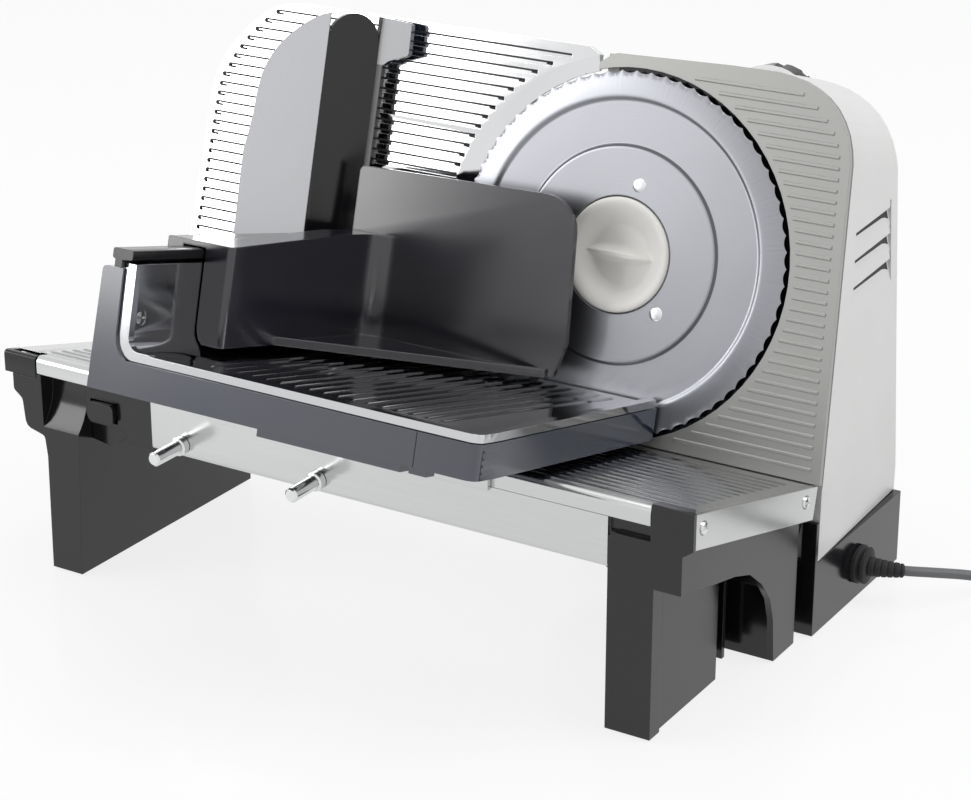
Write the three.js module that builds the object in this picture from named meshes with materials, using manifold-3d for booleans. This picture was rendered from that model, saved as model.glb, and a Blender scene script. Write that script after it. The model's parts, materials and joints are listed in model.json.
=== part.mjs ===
// Electric meat slicer with a leaning cutting plane, modelled in millimetres with +Z up.
// The blade, the stop plate and the food carriage all lean back by the same angle, so most pieces
// are drawn in a leaning frame whose origin is the blade centre: x to the right, y away from the
// user and square to the blade, z up along the blade. Feet and housing are drawn upright.

import * as THREE from 'three';
import { mergeVertices } from 'three/addons/utils/BufferGeometryUtils.js';
import Module from 'manifold-3d';

const wasm = await Module();
wasm.setup();

// Driving sizes: machine
const LEAN = THREE.MathUtils.degToRad(15);
const AXLE_HEIGHT = 161;
const SEAT_GAP = 0.3;
const RUN_GAP = 1.5;

// Driving sizes: blade, its drive and its lock knob
const BLADE_RADIUS = 85;
const BLADE_THICKNESS = 1.2;
const BLADE_WAVES = 70;
const WAVE_DEPTH = 0.9;
const BLADE_GAP = 2.5;
const BEVEL_RING_RADIUS = BLADE_RADIUS - 9.6;
const DISH_RADIUS = 50.4;
const DISH_DEPTH = 4.4;
const BLADE_FRONT = -2.3;
const KNOB_RADIUS = 27.2;
const KNOB_HEIGHT = 13;
const KNOB_BAR_WIDTH = 4.2;
const RIVET_CIRCLE = 34.4;
const RIVET_RADIUS = 3.4;
const GEAR_MODULE = 2;
const GEAR_TEETH = 42;
const PINION_TEETH = 14;
const GEAR_WIDTH = 6;
const GEAR_BACKLASH = 0.5;
const PINION_BEARING_DEG = -30;
const AXLE_RADIUS = 6;
const BUSH_WALL = 3;
const MOTOR_RADIUS = 24;
const MOTOR_LENGTH = 34;

// Driving sizes: stop plate and its carrier
const STOP_LEFT = -248.2;
const STOP_TOP = BLADE_RADIUS + 9;
const STOP_BOTTOM = 0.1 - BLADE_RADIUS;
const STOP_THICKNESS = 4;
const STOP_RIGHT = -25;
const CUTOUT_RADIUS = BLADE_RADIUS + 1.9;
const CUTOUT_CHAMFER = 6.6;
const GROOVE_PITCH = 5;
const GROOVE_WIDTH = 2.4;
const GROOVE_DEPTH = 0.8;
const STOP_TRAVEL = 15;
const CARRIER_THICKNESS = 7;
const GUIDE_ROD_RADIUS = 4;

// Driving sizes: cover plate and housing
const COVER_THICKNESS = 2.7;
const COVER_BORE = BLADE_RADIUS + BLADE_GAP;
const COVER_RIB_PITCH = 5.05;
const COVER_RIB_HEIGHT = 0.5;
const RING_THICKNESS = 1.2;
const HOUSING_LEFT = -22;
const HOUSING_RIGHT = BLADE_RADIUS + 32.4;
const HOUSING_WALL = 3;
const HOUSING_BACK = 77;
const SIDE_DRAFT = 0.04;
const TOP_DRAFT = 0.03;
const FLANGE_RADIUS = BLADE_RADIUS - 5;
const SPLIT_HEIGHT = 38;
const SHELL_FRONT = -21;
const WEB_THICKNESS = 6;
const LOUVRE_TOP = AXLE_HEIGHT + 23;
const LOUVRE_HEIGHT = 12.5;
const LOUVRE_DEPTH = 2.2;
const LOUVRE_ROWS = 3;
const DIAL_RADIUS = 24;
const DIAL_WIDTH = 14;
const DIAL_X = 39;
const DIAL_Z = AXLE_HEIGHT + BLADE_RADIUS - 31;
const DIAL_GRIPS = 12;
const CAM_SWEEP_DEG = 270;

// Driving sizes: base and feet
const BASE_LEFT = -254;
const BASE_RIGHT = HOUSING_RIGHT;
const BASE_TOP = -BLADE_RADIUS - 1.4;
const BASE_FRONT = -147;
const BASE_BACK = 12;
const SHEET = 1.5;
const BASE_RIB_PITCH = 8.1;
const BASE_RIB_WIDTH = 4;
const BASE_RIB_HEIGHT = 0.8;
const LIP_BOTTOM = AXLE_HEIGHT + BASE_TOP + 27.1;
const APRON_BOTTOM = LIP_BOTTOM - 24.4;
const FOOT_WALL = 3;
const FOOT_BACK = -31.5;
const SCOOP_RADIUS = 30;
const SCOOP_DEPTH = 8;
const LEFT_FOOT_INNER = BASE_LEFT + 43.4;
const RIGHT_FOOT_INNER = BASE_RIGHT - 39.6;
const PAD_HEIGHT = 1;
const PAD_PLUG = 4;
const STRIP_THICKNESS = 3;
const STRIP_HEIGHT = 15.6;
const FRONT_PIN_RADIUS = 3.5;
const FRONT_PIN_LENGTH = 21;
const FRONT_PIN_HEIGHT = LIP_BOTTOM - 17.7;

// Driving sizes: carriage and food holder
const TRAY_LEFT = -137;
const TRAY_FRONT = -187;
const TRAY_BACK = -4.6;
const TRAY_RIGHT_FRONT = 45.3;
const TRAY_RIGHT_BACK = 32.9;
const TRAY_FLOOR = BASE_TOP + 21.4;
const TRAY_SHEET = 1.5;
const TRAY_RIM_WIDTH = 5;
const TRAY_RIM_HEIGHT = 2.1;
const TRAY_RIB_PITCH = 7.6;
const TRAY_RIB_HEIGHT = 1.2;
const WALL_TOP = TRAY_FLOOR + 40.5;
const SKIRT_BOTTOM = BASE_TOP + 4.4;
const SKIRT_WALL = 3;
const HAND_PANEL_LEFT = -155;
const HAND_PANEL_TOP = WALL_TOP - 2.5;
const RAIL_HEIGHT = 5;
const PAD_STRIP = 2;
const GUARD_LEFT = -198.5;
const GUARD_TOP = STOP_TOP - 0.6;
const GUARD_FRONT = -31.5;
const GUARD_WALL = 3;
const PLATE_RIGHT = -12;
const PLATE_TOP = TRAY_FLOOR + 89.1;
const PLATE_FRONT = -20;
const PLATE_THICKNESS = 3;
const HOLDER_FRONT = -138;
const HOLDER_BOX_WIDTH = 14.8;
const HOLDER_WALL = 2;
const HOLDER_BOTTOM = TRAY_FLOOR + 3.5;
const TOOTH_LENGTH = 8;
const TOOTH_ROWS = 3;
const TOOTH_COLUMNS = 7;

// Driving sizes: cord and plug
const CORD_DIAMETER = 5;
const CORD_EXIT = [HOUSING_RIGHT, 28.8, 18.5];
const GROMMET_RADIUS = 9.5;
const GROMMET_DEPTH = 6;
const COIL_CENTRE = [236, 118];
const COIL_LOOPS = 10;
const COIL_LAYERS = 4;
const COIL_PITCH = 5.7;
const COIL_INNER = 18;
const TIE_THICKNESS = 0.8;
const TIE_WIDTH = 8;
const PLUG_LENGTH = 36;
const PLUG_WIDTH = 14;
const PLUG_PIN_RADIUS = 2;
const PLUG_PIN_LENGTH = 19;
const PLUG_PIN_SPACING = 18.6;

// Frames: lean places what is drawn in the leaning frame, and its inverse brings upright cutters in
const lean = new THREE.Matrix4()
  .makeTranslation(0, 0, AXLE_HEIGHT)
  .multiply(new THREE.Matrix4().makeRotationX(-LEAN));
const unlean = lean.clone().invert();
const sinL = Math.sin(LEAN);
const cosL = Math.cos(LEAN);

// Upright Y and Z of a leaning point, and the leaning y and z of an upright one
const uprightYZ = (y, z) => [y * cosL + z * sinL, AXLE_HEIGHT - y * sinL + z * cosL];
const leaningYZ = (Y, Z) => [
  Y * cosL - (Z - AXLE_HEIGHT) * sinL,
  Y * sinL + (Z - AXLE_HEIGHT) * cosL,
];
// Leaning y at which the surface z meets the upright plane Y
const leaningYAt = (Y, z) => (Y - z * sinL) / cosL;

// Solids
function toSolid(geometry) {
  const bare = geometry.index ? geometry.toNonIndexed() : geometry.clone();
  bare.deleteAttribute('normal');
  bare.deleteAttribute('uv');
  const merged = mergeVertices(bare, 1e-4);
  const p = merged.attributes.position.array;
  const source = merged.index.array;
  const kept = [];
  let volume = 0;
  for (let i = 0; i < source.length; i += 3) {
    const [a, b, c] = [source[i], source[i + 1], source[i + 2]];
    if (a === b || b === c || a === c) continue;
    kept.push(a, b, c);
    const [A, B, C] = [a * 3, b * 3, c * 3];
    volume += p[A] * (p[B + 1] * p[C + 2] - p[B + 2] * p[C + 1])
      + p[A + 1] * (p[B + 2] * p[C] - p[B] * p[C + 2])
      + p[A + 2] * (p[B] * p[C + 1] - p[B + 1] * p[C]);
  }
  if (volume < 0) {
    for (let i = 0; i < kept.length; i += 3) [kept[i], kept[i + 1]] = [kept[i + 1], kept[i]];
  }
  return new wasm.Manifold(new wasm.Mesh({
    numProp: 3,
    vertProperties: new Float32Array(p),
    triVerts: new Uint32Array(kept),
  }));
}

function toGeometry(solid) {
  const mesh = solid.getMesh();
  const geometry = new THREE.BufferGeometry();
  const stride = mesh.numProp;
  const positions = new Float32Array((mesh.vertProperties.length / stride) * 3);
  for (let i = 0, n = positions.length / 3; i < n; i += 1) {
    for (let k = 0; k < 3; k += 1) positions[i * 3 + k] = mesh.vertProperties[i * stride + k];
  }
  geometry.setAttribute('position', new THREE.BufferAttribute(positions, 3));
  geometry.setIndex(new THREE.BufferAttribute(new Uint32Array(mesh.triVerts), 1));
  const flat = geometry.toNonIndexed();
  flat.computeVertexNormals();
  return flat;
}

const join = (...solids) => solids.flat().reduce((all, next) => all.add(next));
const cut = (solid, ...tools) => tools.flat().reduce((rest, tool) => rest.subtract(tool), solid);

// Outlines: corners are [u, v] or [u, v, radius], and a radius rounds that corner
function outline(corners, steps = 4) {
  const points = [];
  const count = corners.length;
  corners.forEach(([u, v, radius = 0], i) => {
    if (!radius) {
      points.push(new THREE.Vector2(u, v));
      return;
    }
    const here = new THREE.Vector2(u, v);
    const before = new THREE.Vector2(...corners[(i + count - 1) % count]).sub(here);
    const after = new THREE.Vector2(...corners[(i + 1) % count]).sub(here);
    const half = Math.acos(before.dot(after) / (before.length() * after.length())) / 2;
    const reach = Math.min(radius / Math.tan(half), before.length() * 0.49, after.length() * 0.49);
    const used = reach * Math.tan(half);
    before.normalize();
    after.normalize();
    const centre = before.clone().add(after).normalize().multiplyScalar(used / Math.sin(half));
    centre.add(here);
    const from = here.clone().addScaledVector(before, reach).sub(centre);
    const to = here.clone().addScaledVector(after, reach).sub(centre);
    const start = Math.atan2(from.y, from.x);
    let sweep = Math.atan2(to.y, to.x) - start;
    if (sweep > Math.PI) sweep -= 2 * Math.PI;
    if (sweep < -Math.PI) sweep += 2 * Math.PI;
    for (let k = 0; k <= steps; k += 1) {
      const angle = start + (sweep * k) / steps;
      points.push(new THREE.Vector2(
        centre.x + used * Math.cos(angle),
        centre.y + used * Math.sin(angle),
      ));
    }
  });
  return points;
}

// Smooth run of points through the given ones, each as [u, v]
const through = (corners, count) => new THREE.SplineCurve(
  corners.map(([u, v]) => new THREE.Vector2(u, v)),
).getPoints(count).map((p) => [p.x, p.y]);

const asShape = (points) => new THREE.Shape(
  points.map((p) => (p.isVector2 ? p : new THREE.Vector2(p[0], p[1]))),
);

function prism(points, depth) {
  return new THREE.ExtrudeGeometry(asShape(points), { depth, bevelEnabled: false });
}

// Extrusions along X of a (y, z) outline, along Y of an (x, z) outline, along Z of an (x, y) one
const alongX = new THREE.Matrix4().makeBasis(
  new THREE.Vector3(0, 1, 0),
  new THREE.Vector3(0, 0, 1),
  new THREE.Vector3(1, 0, 0),
);
const alongY = new THREE.Matrix4().makeBasis(
  new THREE.Vector3(1, 0, 0),
  new THREE.Vector3(0, 0, 1),
  new THREE.Vector3(0, -1, 0),
);

function extrudeX(points, x0, x1, frame = null) {
  const geometry = prism(points, x1 - x0).applyMatrix4(alongX).translate(x0, 0, 0);
  return toSolid(frame ? geometry.applyMatrix4(frame) : geometry);
}

function extrudeY(points, y0, y1, frame = null) {
  const geometry = prism(points, y1 - y0).applyMatrix4(alongY).translate(0, y1, 0);
  return toSolid(frame ? geometry.applyMatrix4(frame) : geometry);
}

function extrudeZ(points, z0, z1, frame = null) {
  const geometry = prism(points, z1 - z0).translate(0, 0, z0);
  return toSolid(frame ? geometry.applyMatrix4(frame) : geometry);
}

function block([x0, x1], [y0, y1], [z0, z1], frame = null) {
  const geometry = new THREE.BoxGeometry(x1 - x0, y1 - y0, z1 - z0)
    .translate((x0 + x1) / 2, (y0 + y1) / 2, (z0 + z1) / 2);
  return toSolid(frame ? geometry.applyMatrix4(frame) : geometry);
}

// Revolve of a closed [radius, y] profile about the line along y through (x, z)
function turned(profile, segments, x = 0, z = 0, frame = null) {
  const loop = [...profile, profile[0]].map(([r, y]) => new THREE.Vector2(r, y));
  const geometry = new THREE.LatheGeometry(loop, segments).translate(x, 0, z);
  return toSolid(frame ? geometry.applyMatrix4(frame) : geometry);
}

const disc = (radius, y0, y1, segments, x = 0, z = 0, frame = null) => turned(
  [[0, y0], [radius, y0], [radius, y1], [0, y1]], segments, x, z, frame,
);
const ring = (inner, outer, y0, y1, segments, x = 0, z = 0, frame = null) => turned(
  [[inner, y0], [outer, y0], [outer, y1], [inner, y1]], segments, x, z, frame,
);

// Round bar along X or Z
function barX(radius, x0, x1, y, z, segments = 16) {
  const geometry = new THREE.CylinderGeometry(radius, radius, x1 - x0, segments)
    .rotateZ(Math.PI / 2)
    .translate((x0 + x1) / 2, y, z);
  return toSolid(geometry);
}

// Points of an arc in an (x, z) outline, angles in degrees from +x towards +z
function arc(radius, from, to, steps, cx = 0, cz = 0) {
  const points = [];
  for (let k = 0; k <= steps; k += 1) {
    const angle = THREE.MathUtils.degToRad(from + ((to - from) * k) / steps);
    points.push([cx + radius * Math.cos(angle), cz + radius * Math.sin(angle)]);
  }
  return points;
}

// Involute spur gear outline with a tooth centred on the angle start
function gearOutline(teeth, start, curvedFlanks = false) {
  const pitch = (GEAR_MODULE * teeth) / 2;
  const pressure = THREE.MathUtils.degToRad(20);
  const base = pitch * Math.cos(pressure);
  const tip = pitch + GEAR_MODULE * 0.85;
  const root = pitch - GEAR_MODULE * 1.25;
  const inv = (a) => Math.tan(a) - a;
  const halfAt = (r) => {
    const a = r > base ? Math.acos(base / r) : 0;
    return Math.PI / (2 * teeth) - GEAR_BACKLASH / (2 * pitch) + inv(pressure) - inv(a);
  };
  const points = [];
  for (let i = 0; i < teeth; i += 1) {
    const centre = start + (2 * Math.PI * i) / teeth;
    const flank = [[root, halfAt(base)], [pitch, halfAt(pitch)], [tip, halfAt(tip)]]
      .filter((_, k) => curvedFlanks || k !== 1);
    flank.forEach(([r, h]) => points.push([r * Math.cos(centre - h), r * Math.sin(centre - h)]));
    flank.reverse().forEach(([r, h]) => {
      points.push([r * Math.cos(centre + h), r * Math.sin(centre + h)]);
    });
  }
  return points;
}

// Scene graph
const slicer = new THREE.Group();
const upright = new THREE.Group();
const leaning = new THREE.Group();
leaning.applyMatrix4(lean);
slicer.add(upright, leaning);
const cordNames = [];

function piece(group, name, solid, color, roughness, metalness = 0) {
  const geometry = solid.isBufferGeometry ? solid : toGeometry(solid);
  const material = new THREE.MeshStandardMaterial({ color, roughness, metalness });
  const mesh = new THREE.Mesh(geometry, material);
  mesh.name = name;
  group.add(mesh);
  return mesh;
}

const BLACK = 0x24242a;
const STEEL = 0xc9cbcc;
const CHROME = 0xd8dadc;
const HOUSING_GREY = 0xd2d2d0;
const COVER_GREY = 0x9a9c9c;
const BLUE_GREY = 0x3f4650;
const CREAM = 0xe9e7df;
const NYLON = 0xdedcd2;

// Base: one bent sheet with raised ribs, its front folded down to an upright lip
const baseUnder = BASE_TOP - SHEET;
const baseFrontY = leaningYAt(BASE_FRONT, BASE_TOP);
const lipInner = BASE_FRONT + SHEET;
const stripLeft = BASE_RIGHT - STRIP_THICKNESS;
const plateRight = stripLeft - SEAT_GAP;
const baseProfile = outline([
  uprightYZ(BASE_BACK, BASE_TOP),
  [...uprightYZ(baseFrontY, BASE_TOP), SHEET * 2],
  [BASE_FRONT, LIP_BOTTOM],
  [lipInner, LIP_BOTTOM],
  [...uprightYZ(leaningYAt(lipInner, baseUnder), baseUnder), SHEET],
  uprightYZ(BASE_BACK, baseUnder),
]);
const baseRibs = [];
const ribLeft = BASE_LEFT + 14;
const ribRight = plateRight - 6;
for (let y = baseFrontY + 10; y < -8; y += BASE_RIB_PITCH) {
  const half = BASE_RIB_WIDTH / 2;
  baseRibs.push(extrudeX([
    [y - half, BASE_TOP - SHEET / 2],
    [y + half, BASE_TOP - SHEET / 2],
    [y + half * 0.45, BASE_TOP + BASE_RIB_HEIGHT],
    [y - half * 0.45, BASE_TOP + BASE_RIB_HEIGHT],
  ], ribLeft, ribRight, lean));
}
const capNotch = [BASE_RIGHT - 19.4, BASE_RIGHT + 16.6];
const capBackY = baseFrontY + 9;
const basePlate = cut(
  join(extrudeX(baseProfile, BASE_LEFT + 0.5, plateRight), baseRibs),
  block([capNotch[0] - SEAT_GAP, capNotch[1]], [-140, capBackY + SEAT_GAP],
    [BASE_TOP - 34, BASE_TOP + 16], lean),
  block([BASE_LEFT - 5, BASE_LEFT + 19 + SEAT_GAP], [BASE_FRONT - 5, BASE_FRONT + 9],
    [LIP_BOTTOM - 12, LIP_BOTTOM + 18]),
  block([HOUSING_LEFT - RUN_GAP, 200], [4.2, 60], [BASE_TOP - 14, BASE_TOP + 26], lean),
);
piece(upright, 'base_plate', basePlate, STEEL, 0.3, 1);

// End strip: flat bar screwed under the right edge of the base
const stripFront = BASE_FRONT + 2.6;
const stripProfile = [
  uprightYZ(-SEAT_GAP, BASE_TOP),
  uprightYZ(leaningYAt(stripFront, BASE_TOP), BASE_TOP),
  uprightYZ(leaningYAt(stripFront, BASE_TOP - STRIP_HEIGHT), BASE_TOP - STRIP_HEIGHT),
  uprightYZ(-SEAT_GAP, BASE_TOP - STRIP_HEIGHT),
];
const screwZ = BASE_TOP - 6.3;
const screwSpots = [leaningYAt(stripFront, BASE_TOP) + 9.5, -11.3];
const screwHead = 3;
let endStrip = extrudeX(stripProfile, stripLeft, BASE_RIGHT);
const axisToX = new THREE.Matrix4().makeRotationZ(-Math.PI / 2);
function screwSolid(x, y, z, head, depth) {
  const profile = [
    [0, -depth], [head * 0.5, -depth], [head * 0.5, -1.2], [head, -0.8], [head * 0.9, 0.3], [0, 0.6],
  ];
  const loop = [...profile, profile[0]].map(([r, t]) => new THREE.Vector2(r, t));
  const body = toSolid(
    new THREE.LatheGeometry(loop, 12).applyMatrix4(axisToX).translate(x, y, z),
  );
  const slot = block([x - 0.1, x + 2], [y - head * 0.8, y + head * 0.8], [z - 0.4, z + 0.4]);
  return cut(body, slot);
}
screwSpots.forEach((y, i) => {
  const hole = new THREE.CylinderGeometry(screwHead + SEAT_GAP, screwHead + SEAT_GAP, 10, 20)
    .rotateZ(Math.PI / 2).translate(BASE_RIGHT + 4, y, screwZ).applyMatrix4(lean);
  const shank = new THREE.CylinderGeometry(1.8, 1.8, 12, 16)
    .rotateZ(Math.PI / 2).translate(BASE_RIGHT, y, screwZ).applyMatrix4(lean);
  endStrip = cut(endStrip, toSolid(hole), toSolid(shank));
  piece(
    leaning,
    i ? 'strip_screw_rear' : 'strip_screw_front',
    screwSolid(BASE_RIGHT + 0.5, y, screwZ, screwHead, STRIP_THICKNESS + 0.2),
    STEEL, 0.3, 1,
  );
});
piece(upright, 'end_strip', endStrip, STEEL, 0.35, 1);

// Apron: folded sheet that closes the front between the feet
const apronFace = BASE_FRONT + 0.2;
const apronTop = LIP_BOTTOM - SEAT_GAP;
const apronBack = BASE_FRONT + 26;
const apronProfile = outline([
  [apronFace, apronTop],
  [apronFace, APRON_BOTTOM, 2.5],
  [apronBack, APRON_BOTTOM],
  [apronBack, APRON_BOTTOM + SHEET],
  [apronFace + SHEET, APRON_BOTTOM + SHEET, 1],
  [apronFace + SHEET, apronTop],
]);
const apronLeft = LEFT_FOOT_INNER + 44.6;
const apronRight = RIGHT_FOOT_INNER - SEAT_GAP;
const pinSpots = [-148.3, -71.3];
const pinHoles = pinSpots.map((x) => disc(
  FRONT_PIN_RADIUS * 0.6 + SEAT_GAP, BASE_FRONT - 3, BASE_FRONT + 4, 20, x, FRONT_PIN_HEIGHT,
));
piece(upright, 'front_apron', cut(extrudeX(apronProfile, apronLeft, apronRight), pinHoles),
  STEEL, 0.35, 1);

pinSpots.forEach((x, i) => {
  const r = FRONT_PIN_RADIUS;
  const face = apronFace - SEAT_GAP;
  const tip = face - FRONT_PIN_LENGTH;
  const pin = turned([
    [0, tip], [r - 0.8, tip], [r, tip + 0.8], [r, face - 4], [r + 1, face - 3.4], [r + 1, face],
    [r * 0.6, face], [r * 0.6, face + 5], [0, face + 5],
  ], 16, x, FRONT_PIN_HEIGHT);
  piece(upright, i ? 'front_pin_right' : 'front_pin_left', pin, CHROME, 0.15, 1);
});

// Feet: each is trimmed by the sloping underside of the base and stands on two rubber pads
const aboveBase = (z) => block([-400, 400], [-400, 200], [z, 300], lean);
const underBase = aboveBase(baseUnder - SEAT_GAP);
const padSpots = { left: [], right: [] };
const padHalf = [6, 11];
function padPocket(x, y) {
  return block(
    [x - padHalf[0], x + padHalf[0]], [y - padHalf[1], y + padHalf[1]], [-5, PAD_HEIGHT + PAD_PLUG],
  );
}
function pad(name, x, y) {
  const inset = SEAT_GAP;
  const [hx, hy] = [padHalf[0] - inset, padHalf[1] - inset];
  const corners = [
    [x - hx, y - hy, 2], [x + hx, y - hy, 2], [x + hx, y + hy, 2], [x - hx, y + hy, 2],
  ];
  piece(upright, name, extrudeZ(outline(corners, 3), 0, PAD_HEIGHT + PAD_PLUG - inset), 0x1a1a1c, 0.9);
}
const archRise = LIP_BOTTOM - 35.8;
const archCurve = [
  [-116, archRise], [-96, archRise * 0.932], [-81, archRise * 0.853], [-68, archRise * 0.698],
  [-59, archRise * 0.527], [-55, archRise * 0.347], [-52.8, PAD_HEIGHT],
];

// Right foot: front post, outer beam with an arch below it and a recessed panel inside
const outerX = BASE_RIGHT - 4.4;
const postRight = BASE_RIGHT - 17.5;
const panelX = BASE_RIGHT - 18.9;
const footFront = [
  [RIGHT_FOOT_INNER, PAD_HEIGHT], [postRight, PAD_HEIGHT], [postRight, LIP_BOTTOM - 28.7],
  [outerX, LIP_BOTTOM - 28.7], [outerX, LIP_BOTTOM - 10.7],
  [outerX + 5, LIP_BOTTOM - 7.1], [outerX + 5, LIP_BOTTOM + 9.7],
  [capNotch[0], LIP_BOTTOM + 10.7, 1.5], [capNotch[0], LIP_BOTTOM - 7.1],
  [RIGHT_FOOT_INNER + 7.7, LIP_BOTTOM - 7.1], [RIGHT_FOOT_INNER + 7.5, LIP_BOTTOM - 4.7, 1.5],
  [RIGHT_FOOT_INNER, LIP_BOTTOM - 8.9],
];
const capTop = BASE_TOP + 1.1;
const postDepth = 9;
const footPost = cut(
  extrudeY(outline(footFront, 2), BASE_FRONT, BASE_FRONT + postDepth),
  aboveBase(capTop),
);
const beamProfile = [
  [BASE_FRONT + 4, LIP_BOTTOM - 28], ...archCurve, [FOOT_BACK, PAD_HEIGHT],
  [FOOT_BACK, LIP_BOTTOM - 11.7], [BASE_FRONT + 4, LIP_BOTTOM + 13.3],
];
const rightOuter = extrudeX(beamProfile, outerX - FOOT_WALL, outerX);
const rightPanel = block(
  [RIGHT_FOOT_INNER, panelX], [BASE_FRONT + 1, -82], [PAD_HEIGHT, LIP_BOTTOM + 18.3],
);
const rightInner = block(
  [RIGHT_FOOT_INNER, RIGHT_FOOT_INNER + FOOT_WALL], [-84, FOOT_BACK],
  [PAD_HEIGHT, LIP_BOTTOM + 18.3],
);
const rightRear = block([RIGHT_FOOT_INNER, outerX], [-52.8, FOOT_BACK],
  [PAD_HEIGHT, LIP_BOTTOM + 18.3]);
const rightRoof = extrudeX([
  [BASE_FRONT + 4, LIP_BOTTOM - 26.7], [-100, archRise + 2.1], [-81, archRise - 5.9],
  [-66, archRise * 0.76], [-52, archRise * 0.546], [-45, LIP_BOTTOM + 18.3],
  [BASE_FRONT + 4, LIP_BOTTOM + 18.3],
], RIGHT_FOOT_INNER, outerX);
const rightRibs = [-73, -63].map((y) => block(
  [RIGHT_FOOT_INNER, RIGHT_FOOT_INNER + 14.2], [y, y + 2.5], [PAD_HEIGHT, LIP_BOTTOM - 31.7],
));
const gussetTop = LIP_BOTTOM - 41.7;
const gusset = extrudeX([
  [FOOT_BACK - 1, gussetTop], [SHELL_FRONT - 2, gussetTop], [FOOT_BACK - 1, gussetTop - 16],
], outerX - 5, outerX - 2);
const stripRoom = extrudeX([
  uprightYZ(0.5, BASE_TOP + 5),
  uprightYZ(leaningYAt(stripFront - SEAT_GAP, BASE_TOP + 5), BASE_TOP + 5),
  uprightYZ(
    leaningYAt(stripFront - SEAT_GAP, BASE_TOP - STRIP_HEIGHT - SEAT_GAP),
    BASE_TOP - STRIP_HEIGHT - SEAT_GAP,
  ),
  uprightYZ(0.5, BASE_TOP - STRIP_HEIGHT - SEAT_GAP),
], stripLeft - SEAT_GAP, BASE_RIGHT + 10);
const baseRoom = join(
  block([-300, plateRight + SEAT_GAP], [capBackY + SEAT_GAP - 0.3, 60],
    [baseUnder - SEAT_GAP, 10], lean),
  block([-300, capNotch[0]], [-150, 60], [baseUnder - SEAT_GAP, 10], lean),
  block([-300, capNotch[0]], [BASE_FRONT - 3, lipInner + 1.2],
    [LIP_BOTTOM - 7, LIP_BOTTOM + 28.3]),
);
padSpots.right.push([RIGHT_FOOT_INNER + 10.4, BASE_FRONT + 16]);
let rightFoot = join(
  footPost, rightOuter, rightPanel, rightInner, rightRear, rightRoof, rightRibs, gusset,
);
rightFoot = cut(rightFoot, baseRoom, stripRoom, aboveBase(capTop),
  padPocket(...padSpots.right[0]));
piece(upright, 'right_foot', rightFoot, BLACK, 0.35);
pad('foot_pad_front_right', ...padSpots.right[0]);

// Left foot: leg panel under an outward beam, with a finger scoop in the front of the beam
const leftFront = [
  [BASE_LEFT + 22.3, PAD_HEIGHT], [BASE_LEFT + 40.5, PAD_HEIGHT],
  [LEFT_FOOT_INNER, LIP_BOTTOM - 31.7], [LEFT_FOOT_INNER, LIP_BOTTOM + 18.3],
  [BASE_LEFT + 4.6, LIP_BOTTOM + 18.3], [BASE_LEFT + 4.6, LIP_BOTTOM - 10.7, 2],
  [BASE_LEFT + 9.6, LIP_BOTTOM - 14.5, 3], [BASE_LEFT + 11, LIP_BOTTOM - 28.5, 4],
  [BASE_LEFT + 22.2, LIP_BOTTOM - 31.4, 2], [BASE_LEFT + 23.4, LIP_BOTTOM - 41.7],
];
const leftLeg = extrudeY(outline(leftFront, 2), BASE_FRONT - 0.5, -10);
const leftArch = extrudeX([
  [FOOT_BACK, PAD_HEIGHT], ...archCurve.slice(1).reverse(),
  [-96, LIP_BOTTOM - 21.7], [FOOT_BACK, LIP_BOTTOM - 21.7],
], BASE_LEFT + 5, BASE_LEFT + 23);
const scoop = (() => {
  const geometry = new THREE.CylinderGeometry(SCOOP_RADIUS, SCOOP_RADIUS, 40, 48)
    .rotateZ(Math.PI / 2)
    .translate(BASE_LEFT + 42, BASE_FRONT - SCOOP_RADIUS + SCOOP_DEPTH, LIP_BOTTOM - 5.7);
  return toSolid(geometry);
})();
const capLeft = [BASE_LEFT, BASE_LEFT + 19];
const capBottom = LIP_BOTTOM - 2.1;
const endCapRoom = block(
  [BASE_LEFT - 5, capLeft[1] + SEAT_GAP], [BASE_FRONT - 5, BASE_FRONT + 9 + SEAT_GAP],
  [capBottom - SEAT_GAP, LIP_BOTTOM + 28.3],
);
padSpots.left.push([BASE_LEFT + 31.4, BASE_FRONT + 16]);
const leftFoot = cut(
  join(leftLeg, leftArch),
  underBase, scoop, endCapRoom,
  block([BASE_LEFT - 6, BASE_LEFT + 54], [BASE_FRONT - 4, lipInner + 1.2],
    [LIP_BOTTOM - SEAT_GAP, LIP_BOTTOM + 28.3]),
  padPocket(...padSpots.left[0]),
);
piece(upright, 'left_foot', leftFoot, BLACK, 0.35);
pad('foot_pad_front_left', ...padSpots.left[0]);

// End cap on the left front corner of the base
const endCap = cut(
  extrudeX(outline([
    [BASE_FRONT - 0.6, capBottom], [BASE_FRONT + 8.6, capBottom],
    [BASE_FRONT + 8.6, LIP_BOTTOM + 6.7], [BASE_FRONT - 0.6, LIP_BOTTOM + 9.1, 2],
  ], 3), ...capLeft),
  aboveBase(BASE_TOP + 0.6),
  block([BASE_LEFT + 3, 0], [BASE_FRONT + 2.4, 0], [LIP_BOTTOM + 0.3, LIP_BOTTOM + 28.3]),
);
piece(upright, 'base_end_cap', endCap, BLACK, 0.4);

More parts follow.
